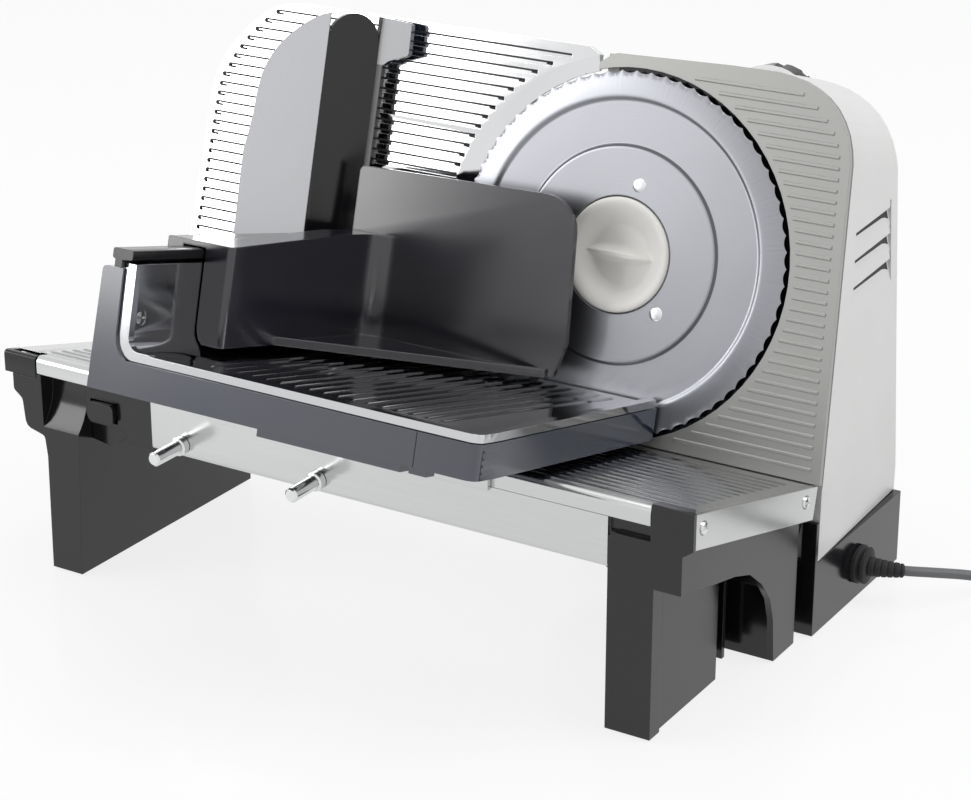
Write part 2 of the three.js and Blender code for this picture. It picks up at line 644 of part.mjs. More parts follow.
// Start switch under the left end of the base: block with a sprung push button
const switchLeft = LEFT_FOOT_INNER + SEAT_GAP;
const switchRight = apronLeft - SEAT_GAP;
const switchFront = BASE_FRONT + 6;
const switchBack = BASE_FRONT + 60;
const switchOutline = outline([
  [switchLeft, LIP_BOTTOM + 18.3], [switchLeft, LIP_BOTTOM - 31.7],
  [switchLeft + 11.5, LIP_BOTTOM - 33.4, 2], [switchLeft + 17.5, LIP_BOTTOM - 29],
  [switchLeft + 23.5, LIP_BOTTOM - 22.9], [switchLeft + 24, LIP_BOTTOM - 27.4, 1],
  [switchRight, LIP_BOTTOM - 27.4, 1], [switchRight, LIP_BOTTOM + 18.3],
], 3);
const buttonX = [switchLeft + 3, switchLeft + 19];
const buttonZ = [LIP_BOTTOM - 19.2, LIP_BOTTOM - 8.8];
const switchBlock = cut(
  extrudeY(switchOutline, switchFront, switchBack),
  underBase,
  block(buttonX, [switchFront - 5, switchFront + 9], buttonZ),
  block([switchLeft - 1, switchLeft + 23.2], [switchFront - 5, switchFront + 4],
    [LIP_BOTTOM - 60, buttonZ[0] - 2]),
  block([switchLeft + 27, switchRight + 1], [switchBack - 30, switchBack + 5],
    [LIP_BOTTOM - 60, LIP_BOTTOM + 40]),
);
piece(upright, 'switch_block', switchBlock, BLACK, 0.5);
const button = extrudeY(outline([
  [buttonX[0] + 0.4, buttonZ[0] + 0.4, 2], [buttonX[1] - 0.4, buttonZ[0] + 0.4, 2],
  [buttonX[1] - 0.4, buttonZ[1] - 0.4, 2], [buttonX[0] + 0.4, buttonZ[1] - 0.4, 2],
], 3), switchFront - 3, switchFront + 5);
piece(upright, 'start_button', button, 0x3a3a40, 0.4);

// Cover plate: ribbed sheet round the blade on the right, with a bevelled left tip
const coverEdge = (z) => HOUSING_RIGHT + 0.5 - ((z - BASE_TOP - 0.1) * 9.7) / 145.3;
const coverBottom = BASE_TOP + 0.4;
const coverTipLeft = -24.4;
const coverTop = BLADE_RADIUS + 10;
const bendZ = coverTop - 36;
const coverCorner = through([
  [coverEdge(bendZ), bendZ], [HOUSING_RIGHT - 11.4, coverTop - 26.5],
  [HOUSING_RIGHT - 15.9, coverTop - 17.5], [HOUSING_RIGHT - 22.4, coverTop - 10],
  [HOUSING_RIGHT - 30.9, coverTop - 4.7], [HOUSING_RIGHT - 40.5, coverTop - 1.4],
  [HOUSING_RIGHT - 51.4, coverTop],
], 9);
const coverOutline = [
  [Math.sqrt(COVER_BORE ** 2 - coverBottom ** 2), coverBottom],
  [coverEdge(coverBottom), coverBottom], ...coverCorner, [HOUSING_RIGHT - 75.4, coverTop - 0.2],
  [-15.7, coverTop - 2.3], [-18.6, coverTop - 3.6], [coverTipLeft, coverTop - 7.6],
  [coverTipLeft, Math.sqrt(COVER_BORE ** 2 - coverTipLeft ** 2)],
];
const coverRightAt = (z) => {
  for (let i = 1; i < coverOutline.length - 1; i += 1) {
    const [[x0, z0], [x1, z1]] = [coverOutline[i], coverOutline[i + 1]];
    if (z >= z0 && z <= z1) return x0 + ((x1 - x0) * (z - z0)) / (z1 - z0);
  }
  return coverOutline[1][0];
};
const bore = disc(COVER_BORE, -2, COVER_THICKNESS + 2, 64);
const ribBars = [];
for (let z = coverBottom + 6; z < coverTop - 5; z += COVER_RIB_PITCH) {
  const inside = z * z < (COVER_BORE + 3) ** 2 ? Math.sqrt((COVER_BORE + 3) ** 2 - z * z) : 0;
  const right = coverRightAt(z) - (z < bendZ ? 5 : 5 + ((z - bendZ) ** 2) / 110);
  if (right - inside > 4) {
    ribBars.push(extrudeX([
      [0.4, z - 1.3], [0.4, z + 1.3], [-COVER_RIB_HEIGHT, z + 0.5], [-COVER_RIB_HEIGHT, z - 0.5],
    ], inside, right));
  }
}
const coverPlate = join(cut(extrudeY(coverOutline, 0, COVER_THICKNESS), bore), ribBars);
piece(leaning, 'cover_plate', coverPlate, COVER_GREY, 0.4, 0.6);

// Dark ring under the edge of the cover, seen in the gap round the blade teeth
const ringFront = COVER_THICKNESS + SEAT_GAP;
const ringBack = ringFront + RING_THICKNESS;
const ringSweep = [
  [0, 0], ...arc(140, -74, 100, 12), [0, 0.01],
];
const bladeRing = ring(BLADE_RADIUS - 7, COVER_BORE + 3.4, ringFront, ringBack, 72)
  .intersect(extrudeY(ringSweep.slice(0, -1), ringFront - 1, ringBack + 1))
  .intersect(block([HOUSING_LEFT + 1, 200], [-10, 20], [coverBottom + 0.2, coverTop + 5]));
piece(leaning, 'blade_ring', bladeRing, BLACK, 0.5);

// Housing: the cover outline pushed back with a little draft, ended by an upright back face
const housingFront = ringBack + SEAT_GAP;
const frontFoot = uprightYZ(housingFront, BASE_TOP - 2);
const w = HOUSING_WALL;
const rightAndTop = coverOutline.slice(1, -2).map(([x, z]) => [x, z]);
const housingOutline = [
  [HOUSING_LEFT, BASE_TOP - 73.6], [coverEdge(coverBottom), BASE_TOP - 73.6],
  ...rightAndTop.slice(0, -1), [HOUSING_LEFT, coverTop - 3],
];
function inset(points, distance) {
  const count = points.length;
  return points.map((point, i) => {
    const before = points[(i + count - 1) % count];
    const after = points[(i + 1) % count];
    const a = new THREE.Vector2(point[0] - before[0], point[1] - before[1]).normalize();
    const b = new THREE.Vector2(after[0] - point[0], after[1] - point[1]).normalize();
    const normal = new THREE.Vector2(-a.y - b.y, a.x + b.x);
    const reach = distance / (1 + a.dot(b));
    return [point[0] + normal.x * reach, point[1] + normal.y * reach];
  });
}
function drafted(points) {
  const geometry = prism(points, 180).applyMatrix4(alongY).translate(0, 180, 0);
  const p = geometry.attributes.position;
  for (let i = 0; i < p.count; i += 1) {
    const [x, y, z] = [p.getX(i), p.getY(i), p.getZ(i)];
    if (x > HOUSING_RIGHT * 0.35) p.setX(i, x - y * SIDE_DRAFT);
    if (z > 0) p.setZ(i, z - y * TOP_DRAFT * (z / STOP_TOP));
  }
  return toSolid(geometry.applyMatrix4(lean));
}
const sideProfile = outline([
  [frontFoot[0], SPLIT_HEIGHT + SEAT_GAP], [HOUSING_BACK, SPLIT_HEIGHT + SEAT_GAP],
  [HOUSING_BACK, AXLE_HEIGHT * 2], uprightYZ(housingFront, STOP_TOP * 1.6), frontFoot,
]);
const outerForm = drafted(housingOutline).intersect(extrudeX(sideProfile, -60, 160));
const webFront = housingFront + GEAR_WIDTH + 4;
const webBack = webFront + WEB_THICKNESS;
const innerSideProfile = [
  [frontFoot[0] + w, SPLIT_HEIGHT - 5], [HOUSING_BACK - w, SPLIT_HEIGHT - 5],
  [HOUSING_BACK - w, AXLE_HEIGHT * 2], uprightYZ(webBack, STOP_TOP * 1.6),
  uprightYZ(webBack, BASE_TOP + 16.4), [frontFoot[0] + w, uprightYZ(webBack, BASE_TOP + 16.4)[1]],
];
const innerForm = drafted(inset(housingOutline, w))
  .intersect(extrudeX(innerSideProfile, -60, 160));
const pinionAngle = THREE.MathUtils.degToRad(PINION_BEARING_DEG);
const gearCentres = (GEAR_MODULE * (GEAR_TEETH + PINION_TEETH)) / 2;
const pinionX = gearCentres * Math.cos(pinionAngle);
const pinionZ = gearCentres * Math.sin(pinionAngle);
const gearTip = (GEAR_MODULE * GEAR_TEETH) / 2 + GEAR_MODULE;
const pinionTip = (GEAR_MODULE * PINION_TEETH) / 2 + GEAR_MODULE;
const flange = disc(FLANGE_RADIUS, housingFront, webFront + 3, 40, 0, 0, lean);
const gearRoom = disc(gearTip + RUN_GAP, housingFront - 4, webFront, 32, 0, 0, lean);
const pinionRoom = disc(pinionTip + RUN_GAP, housingFront - 4, webFront, 20, pinionX, pinionZ, lean);
const axleHole = disc(AXLE_RADIUS + SEAT_GAP, 0, 60, 20, 0, 0, lean);
const shaftRadius = 4;
const shaftHole = disc(shaftRadius + 1.5, 0, webBack + 2, 16, pinionX, pinionZ, lean);
const carrierFront = webBack + 2;
const carrierBack = carrierFront + CARRIER_THICKNESS;
const armZ = [BASE_TOP + 24.4, STOP_TOP - 36];
const armHalf = 8;
const armSlots = armZ.map((z) => block(
  [HOUSING_LEFT - 5, HOUSING_LEFT + w + 2],
  [carrierFront - RUN_GAP, carrierBack + STOP_TRAVEL + RUN_GAP],
  [z - armHalf - RUN_GAP, z + armHalf + RUN_GAP], lean,
));
// Louvres: each is a sloping recess in the side wall with a slit along its upper edge
const sideAt = (Y, Z) => {
  const [y, z] = leaningYZ(Y, Z);
  return coverEdge(z) - y * SIDE_DRAFT;
};
function louvre(from, to, top, height) {
  const points = [from, to].flatMap((Y) => {
    const low = sideAt(Y, top - height);
    const high = sideAt(Y, top);
    const slope = (low - high + LOUVRE_DEPTH) / height;
    return [[high + 2, Y, top], [high - LOUVRE_DEPTH, Y, top],
      [low + slope * 3, Y, top - height - 3], [low + 6, Y, top - height]];
  }).flat();
  const geometry = new THREE.BufferGeometry();
  geometry.setAttribute('position', new THREE.Float32BufferAttribute(points, 3));
  geometry.setIndex([0, 1, 2, 0, 2, 3, 4, 6, 5, 4, 7, 6, 0, 4, 5, 0, 5, 1, 1, 5, 6, 1, 6, 2,
    2, 6, 7, 2, 7, 3, 3, 7, 4, 3, 4, 0]);
  return toSolid(geometry);
}
const vents = [];
for (let row = 0; row < LOUVRE_ROWS; row += 1) {
  const top = LOUVRE_TOP - row * LOUVRE_HEIGHT;
  const from = 23 - row * 1.6;
  const to = 68.5;
  const wall = sideAt(to, top);
  vents.push(
    louvre(from, to, top, LOUVRE_HEIGHT - 0.6),
    block([wall - 8, wall + 9], [from + 1, to - 1], [top - 1.6, top - 0.2]),
    block([wall - 1.6, wall + 9], [to - 1.4, to], [top - 1, top + 3.5]),
  );
}
const dialSeat = HOUSING_BACK;
const fairing = disc(DIAL_RADIUS + 1.4, uprightYZ(webBack, 40)[0], dialSeat, 36, DIAL_X, DIAL_Z);
const dialShaftRadius = 5;
const dialHole = disc(dialShaftRadius + RUN_GAP / 2, 0, 120, 16, DIAL_X, DIAL_Z);
let housing = cut(join(outerForm, flange, fairing), innerForm);
housing = cut(housing, gearRoom, pinionRoom, axleHole, shaftHole, armSlots, vents, dialHole);
piece(upright, 'housing_shell', housing, HOUSING_GREY, 0.35, 0.1);

// Lower shell: black tray of the housing, raised at its lower left corner, with a front pillar
const lowerOutline = [
  [HOUSING_LEFT + 42, PAD_HEIGHT], [HOUSING_RIGHT, PAD_HEIGHT], [HOUSING_RIGHT, SPLIT_HEIGHT],
  [HOUSING_LEFT, SPLIT_HEIGHT], [HOUSING_LEFT, SPLIT_HEIGHT - 7],
];
const lowerSide = [
  [SHELL_FRONT, PAD_HEIGHT], [HOUSING_BACK + 0.5, PAD_HEIGHT], [HOUSING_BACK, SPLIT_HEIGHT],
  [SHELL_FRONT, SPLIT_HEIGHT],
];
const lowerInner = [
  [HOUSING_LEFT + 46, PAD_HEIGHT + PAD_PLUG + 3], [HOUSING_RIGHT - w, PAD_HEIGHT + PAD_PLUG + 3],
  [HOUSING_RIGHT - w, SPLIT_HEIGHT + 22], [HOUSING_LEFT + w, SPLIT_HEIGHT + 22],
  [HOUSING_LEFT + w, SPLIT_HEIGHT - 4],
];
const pillar = block([HOUSING_RIGHT - 7.4, HOUSING_RIGHT], [SHELL_FRONT, frontFoot[0] - SEAT_GAP],
  [SPLIT_HEIGHT - 2, SPLIT_HEIGHT + 20]);
const rearPads = [[HOUSING_RIGHT - 21.4, HOUSING_BACK - 19], [HOUSING_LEFT + 58, HOUSING_BACK - 19]];
const cordHole = barX(CORD_DIAMETER / 2 + 2.6 + SEAT_GAP, HOUSING_RIGHT - 8, HOUSING_RIGHT + 5,
  CORD_EXIT[1], CORD_EXIT[2], 24);
const lowerShell = cut(
  join(
    cut(
      extrudeY(lowerOutline, -60, 120).intersect(extrudeX(lowerSide, -60, 160)),
      extrudeY(lowerInner, SHELL_FRONT + w, HOUSING_BACK - w),
    ),
    pillar,
  ),
  cordHole, rearPads.map(([x, y]) => padPocket(x, y)),
);
piece(upright, 'lower_shell', lowerShell, BLACK, 0.4);
pad('foot_pad_rear_right', ...rearPads[0]);
pad('foot_pad_rear_left', ...rearPads[1]);

// Stop plate: mirror plate with grooves, a round cut-out for the blade and a wide chamfer on it
const stopCorner = THREE.MathUtils.radToDeg(Math.acos(STOP_RIGHT / CUTOUT_RADIUS));
const stopLow = 360 - stopCorner;
const stopCornerPoints = through([
  [STOP_LEFT + 56.5, STOP_TOP], [STOP_LEFT + 44.4, STOP_TOP - 1.4],
  [STOP_LEFT + 34, STOP_TOP - 4.7], [STOP_LEFT + 25.4, STOP_TOP - 11.2],
  [STOP_LEFT + 16, STOP_TOP - 21], [STOP_LEFT + 8.4, STOP_TOP - 32],
  [STOP_LEFT + 4, STOP_TOP - 44], [STOP_LEFT + 2.6, STOP_TOP - 58],
], 12);
const stopOutline = [
  ...arc(CUTOUT_RADIUS, stopLow, stopCorner, 28),
  [STOP_RIGHT, STOP_TOP - 3.2], [STOP_RIGHT - 6, STOP_TOP], ...stopCornerPoints,
  [STOP_LEFT + 1.5, STOP_TOP - 89], [STOP_LEFT, STOP_TOP - 118],
  [STOP_LEFT - 2.4, STOP_BOTTOM], [STOP_RIGHT, STOP_BOTTOM],
];
const stopLeftAt = (z) => {
  for (let i = stopOutline.length - 2; i > 30; i -= 1) {
    const [[x1, z1], [x0, z0]] = [stopOutline[i - 1], stopOutline[i]];
    if (z >= z0 && z <= z1 && z1 > z0) return x0 + ((x1 - x0) * (z - z0)) / (z1 - z0);
  }
  return STOP_LEFT;
};
const chamferCone = turned([
  [0, -1], [CUTOUT_RADIUS + CUTOUT_CHAMFER + 0.3, -0.1],
  [CUTOUT_RADIUS + 0.2, STOP_THICKNESS - 0.8], [0, STOP_THICKNESS - 0.8],
], 60);
const grooves = [];
const grooveEnd = CUTOUT_RADIUS + CUTOUT_CHAMFER + 3;
for (let z = STOP_TOP - 6; z > STOP_BOTTOM + 3; z -= GROOVE_PITCH) {
  const left = stopLeftAt(z) + (z > STOP_TOP - 40 ? 4.6 : 3.3);
  const right = Math.abs(z) < grooveEnd ? -Math.sqrt(grooveEnd ** 2 - z * z) : STOP_RIGHT - 6;
  const half = GROOVE_WIDTH / 2;
  const shape = outline([
    [left, z - half, half * 0.98], [right, z - half], [right, z + half],
    [left, z + half, half * 0.98],
  ], 2);
  grooves.push(extrudeY(shape, -1, GROOVE_DEPTH));
}
const stopPlate = cut(extrudeY(stopOutline, 0, STOP_THICKNESS), chamferCone, grooves);
piece(leaning, 'stop_plate', stopPlate, CHROME, 0.12, 1);

// Stop carrier: casting behind the stop plate that runs on two guide rods inside the housing
const rodX = HOUSING_LEFT + w + 9;
const rodZ = [BASE_TOP + 24.4, STOP_TOP - 36];
const rodBack = 48;
const footFrontY = STOP_THICKNESS + SEAT_GAP;
const padLeft = -BLADE_RADIUS - 47;
const carrierPad = cut(
  block([padLeft, padLeft + 34], [footFrontY, carrierBack], [armZ[0] - 8, armZ[1] + 8]),
  block([padLeft + 4, padLeft + 30], [footFrontY + 4, carrierBack + 5], [armZ[0] - 4, armZ[1] + 4]),
);
const clearOfBlade = disc(CUTOUT_RADIUS + RUN_GAP, -5, webFront + 6, 48);
const arms = armZ.map((z) => block([padLeft + 32, rodX + 4], [carrierFront, carrierBack],
  [z - armHalf, z + armHalf]));
const spine = block([rodX - 4, rodX + 7], [carrierFront, carrierBack],
  [armZ[0] - 4, armZ[1] + 4]);
const bushes = rodZ.map((z) => disc(GUIDE_ROD_RADIUS + 3, carrierFront, carrierBack + 6, 16, rodX, z));
const fingerDrop = 11;
const fingerLength = 6;
const fingerTip = carrierBack + fingerLength;
const fingerZ = (DIAL_Z - fingerDrop - AXLE_HEIGHT + fingerTip * sinL) / cosL;
const reach = block([rodX, DIAL_X + 4], [carrierFront, carrierBack], [fingerZ - 5, fingerZ + 4]);
const finger = block([DIAL_X - 2, DIAL_X + 2], [carrierBack - 2, fingerTip],
  [fingerZ - 2.5, fingerZ + 2.5]);
const boresForRods = rodZ.map((z) => disc(GUIDE_ROD_RADIUS + SEAT_GAP, 0, 90, 16, rodX, z));
const stopCarrier = cut(
  join(cut(carrierPad, clearOfBlade), arms, spine, bushes, reach, finger),
  boresForRods,
  disc(AXLE_RADIUS + 6, 0, 90, 24),
);
piece(leaning, 'stop_carrier', stopCarrier, 0xa8aaac, 0.5, 0.9);
rodZ.forEach((z, i) => {
  piece(leaning, i ? 'guide_rod_upper' : 'guide_rod_lower',
    disc(GUIDE_ROD_RADIUS, webBack + SEAT_GAP, rodBack, 16, rodX, z), STEEL, 0.2, 1);
});

// Thickness dial on the back of the housing and the spiral cam on its shaft
const camTip = uprightYZ(fingerTip, fingerZ)[0] + SEAT_GAP + 1.1;
const dialFront = dialSeat + SEAT_GAP;
const dialBack = dialFront + DIAL_WIDTH;
const dialGrips = [];
for (let i = 0; i < DIAL_GRIPS; i += 1) {
  const angle = (2 * Math.PI * i) / DIAL_GRIPS;
  dialGrips.push(disc(2.6, dialFront + 3, dialBack + 1, 6,
    DIAL_X + (DIAL_RADIUS + 0.8) * Math.cos(angle), DIAL_Z + (DIAL_RADIUS + 0.8) * Math.sin(angle)));
}
const shaftFront = camTip - 1;
const dialBody = turned([
  [0, shaftFront], [dialShaftRadius, shaftFront], [dialShaftRadius, dialFront],
  [DIAL_RADIUS - 1, dialFront], [DIAL_RADIUS, dialFront + 1], [DIAL_RADIUS, dialBack - 3],
  [DIAL_RADIUS - 3, dialBack], [DIAL_RADIUS - 8, dialBack], [DIAL_RADIUS - 10, dialBack - 2],
  [0, dialBack - 2],
], 30, DIAL_X, DIAL_Z);
piece(upright, 'thickness_dial', cut(dialBody, dialGrips), BLACK, 0.5);

// Blade: dished disc whose edge is ground into shallow waves
function bladeGeometry() {
  const n = BLADE_WAVES;
  const fine = n * 3;
  const positions = [];
  const index = [];
  const addRing = (count, radiusAt, y) => {
    const first = positions.length / 3;
    for (let i = 0; i < count; i += 1) {
      const angle = (2 * Math.PI * i) / count;
      const r = radiusAt(i);
      positions.push(r * Math.cos(angle), y, r * Math.sin(angle));
    }
    return { first, count };
  };
  const band = (a, b, flip) => {
    const tri = (p, q, r) => (flip ? index.push(p, r, q) : index.push(p, q, r));
    const ratio = a.count / b.count;
    for (let j = 0; j < b.count; j += 1) {
      const b0 = b.first + j;
      const b1 = b.first + ((j + 1) % b.count);
      const at = (k) => a.first + ((j * ratio + k) % a.count);
      const middle = Math.floor(ratio / 2);
      for (let k = 0; k < ratio; k += 1) tri(at(k), at(k + 1), k < middle ? b0 : b1);
      tri(at(middle), b1, b0);
    }
  };
  const waves = [0, 0.8, 0.8];
  const t = BLADE_THICKNESS;
  const edge = addRing(fine, (i) => BLADE_RADIUS - WAVE_DEPTH * waves[i % 3], BLADE_FRONT + t * 1.4);
  const dishInner = DISH_RADIUS - 2.6;
  const hole = KNOB_RADIUS + 0.6;
  const floorY = BLADE_FRONT + DISH_DEPTH;
  const front = [
    [BLADE_RADIUS - 4.2, BLADE_FRONT + t * 0.75], [BEVEL_RING_RADIUS, BLADE_FRONT],
    [DISH_RADIUS, BLADE_FRONT, 2], [dishInner, floorY, 2], [hole, floorY, 2],
  ];
  const back = [
    [hole, floorY + t, 2], [dishInner - 0.6, floorY + t, 2], [DISH_RADIUS - 0.6, BLADE_FRONT + t, 2],
    [BEVEL_RING_RADIUS, BLADE_FRONT + t], [BLADE_RADIUS - 4.2, BLADE_FRONT + t * 1.7],
  ];
  const loops = [edge, ...[...front, ...back].map(
    ([r, y, coarser = 1]) => addRing(n / coarser, () => r, y),
  )];
  loops.forEach((loop, k) => {
    const next = loops[(k + 1) % loops.length];
    if (loop.count >= next.count) band(loop, next, false);
    else band(next, loop, true);
  });
  const geometry = new THREE.BufferGeometry();
  geometry.setAttribute('position', new THREE.Float32BufferAttribute(positions, 3));
  geometry.setIndex(index);
  return geometry;
}
const rivetAngles = [79, -44, -161];
const rivetAt = rivetAngles.map((deg) => {
  const a = THREE.MathUtils.degToRad(deg);
  return [RIVET_CIRCLE * Math.cos(a), RIVET_CIRCLE * Math.sin(a)];
});
const bladeFloor = BLADE_FRONT + DISH_DEPTH;
const bladeUnder = bladeFloor + BLADE_THICKNESS;
const rivetShank = RIVET_RADIUS * 0.6;
const rivetHoles = rivetAt.map(([x, z]) => disc(rivetShank + SEAT_GAP, -5, 30, 12, x, z));
piece(leaning, 'blade', cut(toSolid(bladeGeometry()), rivetHoles), CHROME, 0.25, 1);

// Blade gear: nylon ring gear on the back of the blade, turning on a bush round the axle
const gearFront = bladeUnder + SEAT_GAP;
const gearBack = webFront - RUN_GAP * 0.6;
const bushRadius = AXLE_RADIUS + BUSH_WALL;
const gearStart = pinionAngle;
const knobBack = BLADE_FRONT + DISH_DEPTH - 0.5 + KNOB_HEIGHT - 4;
const gearSolid = cut(
  join(
    extrudeY(gearOutline(GEAR_TEETH, gearStart), gearBack - GEAR_WIDTH, gearBack),
    disc(RIVET_CIRCLE + 4.2, gearFront, gearBack, 36),
  ),
  disc(bushRadius + SEAT_GAP, -5, 40, 24),
  disc(KNOB_RADIUS - 5 + SEAT_GAP, -5, knobBack - 4 + SEAT_GAP, 32),
  rivetHoles,
);
piece(leaning, 'blade_gear', gearSolid, NYLON, 0.6);
const bushFront = knobBack - 4 + SEAT_GAP * 2;
piece(leaning, 'blade_bearing',
  ring(AXLE_RADIUS + 0.2, bushRadius, bushFront, gearBack + 0.4, 24), 0xb08d57, 0.35, 1);
piece(leaning, 'blade_axle', turned([
  [0, bushFront], [AXLE_RADIUS - 1, bushFront], [AXLE_RADIUS, bushFront + 1],
  [AXLE_RADIUS, webBack + 4], [0, webBack + 4],
], 24), STEEL, 0.2, 1);
rivetAt.forEach(([x, z], i) => {
  const head = turned([
    [0, bladeFloor - SEAT_GAP - 0.9], [RIVET_RADIUS * 0.7, bladeFloor - SEAT_GAP - 0.7],
    [RIVET_RADIUS, bladeFloor - SEAT_GAP], [rivetShank, bladeFloor - SEAT_GAP],
    [rivetShank, gearBack - 0.5], [0, gearBack - 0.5],
  ], 12, x, z);
  piece(leaning, `blade_rivet_${i + 1}`, head, CHROME, 0.2, 1);
});

// Lock knob: round plastic knob with a finger bar left standing between two scoops
const knobFront = BLADE_FRONT + DISH_DEPTH - 0.5;
const knobBody = turned([
  [0, knobFront], [KNOB_RADIUS - 1.2, knobFront], [KNOB_RADIUS, knobFront + 1.2],
  [KNOB_RADIUS, bladeFloor - 0.1 + BLADE_THICKNESS], [KNOB_RADIUS - 5, bladeUnder],
  [KNOB_RADIUS - 5, knobBack - 4], [0, knobBack - 4],
], 36);
const scoopRadius = KNOB_RADIUS - 4.5;
const scoopShape = (side) => {
  const points = [];
  const bar = KNOB_BAR_WIDTH / 2;
  const start = THREE.MathUtils.radToDeg(Math.asin(bar / scoopRadius));
  arc(scoopRadius, start, 180 - start, 10).forEach(([x, z]) => points.push([x, z * side]));
  return side > 0 ? points : points.reverse();
};
const scoops = [1, -1].map((side) => extrudeY(scoopShape(side), knobFront - 2, knobFront + 4.2));
piece(leaning, 'lock_knob', cut(knobBody, scoops), CREAM, 0.45);

// Drive pinion on the motor shaft, in mesh with the blade gear
const pinionStart = pinionAngle + Math.PI + Math.PI / PINION_TEETH;
const pinionOutline = gearOutline(PINION_TEETH, pinionStart, true)
  .map(([x, z]) => [x + pinionX, z + pinionZ]);
piece(leaning, 'drive_pinion', join(
  extrudeY(pinionOutline, gearBack - GEAR_WIDTH, gearBack),
  disc(shaftRadius, gearBack - GEAR_WIDTH - 1, webBack + 10, 20, pinionX, pinionZ),
), 0xb9bbbd, 0.4, 0.9);
const motorFront = webBack + SEAT_GAP;
const motorBody = turned([
  [0, motorFront + 10.4], [shaftRadius + 0.3, motorFront + 10.4], [shaftRadius + 0.3, motorFront],
  [MOTOR_RADIUS, motorFront], [MOTOR_RADIUS, motorFront + 10],
  [MOTOR_RADIUS - 3, motorFront + 11], [MOTOR_RADIUS - 3, motorFront + MOTOR_LENGTH - 2],
  [MOTOR_RADIUS - 6, motorFront + MOTOR_LENGTH], [0, motorFront + MOTOR_LENGTH],
], 24, pinionX, pinionZ);
piece(leaning, 'gear_motor', motorBody, 0x6b6d70, 0.5, 0.8);

// Spiral cam on the dial shaft: its ramp lets the carrier finger follow as the dial turns
const camInner = dialShaftRadius + SEAT_GAP;
const camOuter = 18;
const camBack = dialSeat - 9;
function camGeometry() {
  const steps = 31;
  const span = THREE.MathUtils.degToRad(CAM_SWEEP_DEG + 40);
  const lead = (STOP_TRAVEL * cosL) / THREE.MathUtils.degToRad(CAM_SWEEP_DEG);
  const start = -Math.PI / 2 - THREE.MathUtils.degToRad(20);
  const tipY = camTip;
  const positions = [];
  const index = [];
  for (let i = 0; i <= steps; i += 1) {
    const back = (span * i) / steps;
    const angle = start + back;
    const rise = Math.max(0, back - THREE.MathUtils.degToRad(20));
    const y = Math.min(tipY + lead * rise, camBack - 1.5);
    [[camInner, y], [camOuter, y], [camOuter, camBack], [camInner, camBack]].forEach(([r, t]) => {
      positions.push(DIAL_X + r * Math.cos(angle), t, DIAL_Z + r * Math.sin(angle));
    });
  }
  for (let i = 0; i < steps; i += 1) {
    for (let k = 0; k < 4; k += 1) {
      const a = i * 4 + k;
      const b = i * 4 + ((k + 1) % 4);
      index.push(a, b, b + 4, a, b + 4, a + 4);
    }
  }
  const last = steps * 4;
  index.push(0, 2, 1, 0, 3, 2, last, last + 1, last + 2, last, last + 2, last + 3);
  const geometry = new THREE.BufferGeometry();
  geometry.setAttribute('position', new THREE.Float32BufferAttribute(positions, 3));
  geometry.setIndex(index);
  return geometry;
}
piece(upright, 'dial_cam', toSolid(camGeometry()), NYLON, 0.5);

// Carriage tray: ribbed sheet with a raised rim, its left side turned up into a wall
const rightAt = (y) => {
  const from = TRAY_FRONT + 16;
  const k = Math.max(0, (y - from) / (TRAY_BACK - from));
  return TRAY_RIGHT_FRONT + (TRAY_RIGHT_BACK - TRAY_RIGHT_FRONT) * k;
};
const trayPlan = (inset) => outline([
  [TRAY_LEFT - TRAY_SHEET - 1, TRAY_FRONT + inset], [TRAY_RIGHT_FRONT - inset, TRAY_FRONT + inset, 5],
  [TRAY_RIGHT_FRONT - inset, TRAY_FRONT + 16], [TRAY_RIGHT_BACK - inset, TRAY_BACK],
  [TRAY_LEFT - TRAY_SHEET - 1, TRAY_BACK],
], 4);
const wallFillet = 11;
const traySection = outline([
  [60, TRAY_FLOOR], [TRAY_LEFT, TRAY_FLOOR, wallFillet], [TRAY_LEFT, WALL_TOP],
  [TRAY_LEFT - TRAY_SHEET, WALL_TOP],
  [TRAY_LEFT - TRAY_SHEET, TRAY_FLOOR - TRAY_SHEET, wallFillet + TRAY_SHEET],
  [60, TRAY_FLOOR - TRAY_SHEET],
], 5);
const sheet = extrudeY(traySection, TRAY_FRONT, TRAY_BACK)
  .intersect(extrudeZ(trayPlan(0), -100, 20));
const rim = cut(
  extrudeZ(trayPlan(0), TRAY_FLOOR - TRAY_SHEET, TRAY_FLOOR + TRAY_RIM_HEIGHT),
  extrudeZ(trayPlan(TRAY_RIM_WIDTH), -100, 20),
  block([-200, TRAY_LEFT + wallFillet], [-300, 0], [-100, 20]),
);
const hemOutline = (grow) => outline([
  [TRAY_LEFT + wallFillet + 2, TRAY_FLOOR + TRAY_RIM_HEIGHT + grow],
  [TRAY_LEFT + grow, TRAY_FLOOR + TRAY_RIM_HEIGHT + grow, wallFillet],
  [TRAY_LEFT + grow, WALL_TOP], [TRAY_LEFT - TRAY_RIM_WIDTH, WALL_TOP],
  [TRAY_LEFT - TRAY_RIM_WIDTH, TRAY_FLOOR - TRAY_SHEET, wallFillet + TRAY_RIM_WIDTH],
  [TRAY_LEFT + wallFillet + 2, TRAY_FLOOR - TRAY_SHEET],
], 5);
const hem = extrudeY(hemOutline(0.6), TRAY_FRONT, TRAY_FRONT + 4);
const trayRibs = [];
const ribEnd = TRAY_BACK - 9;
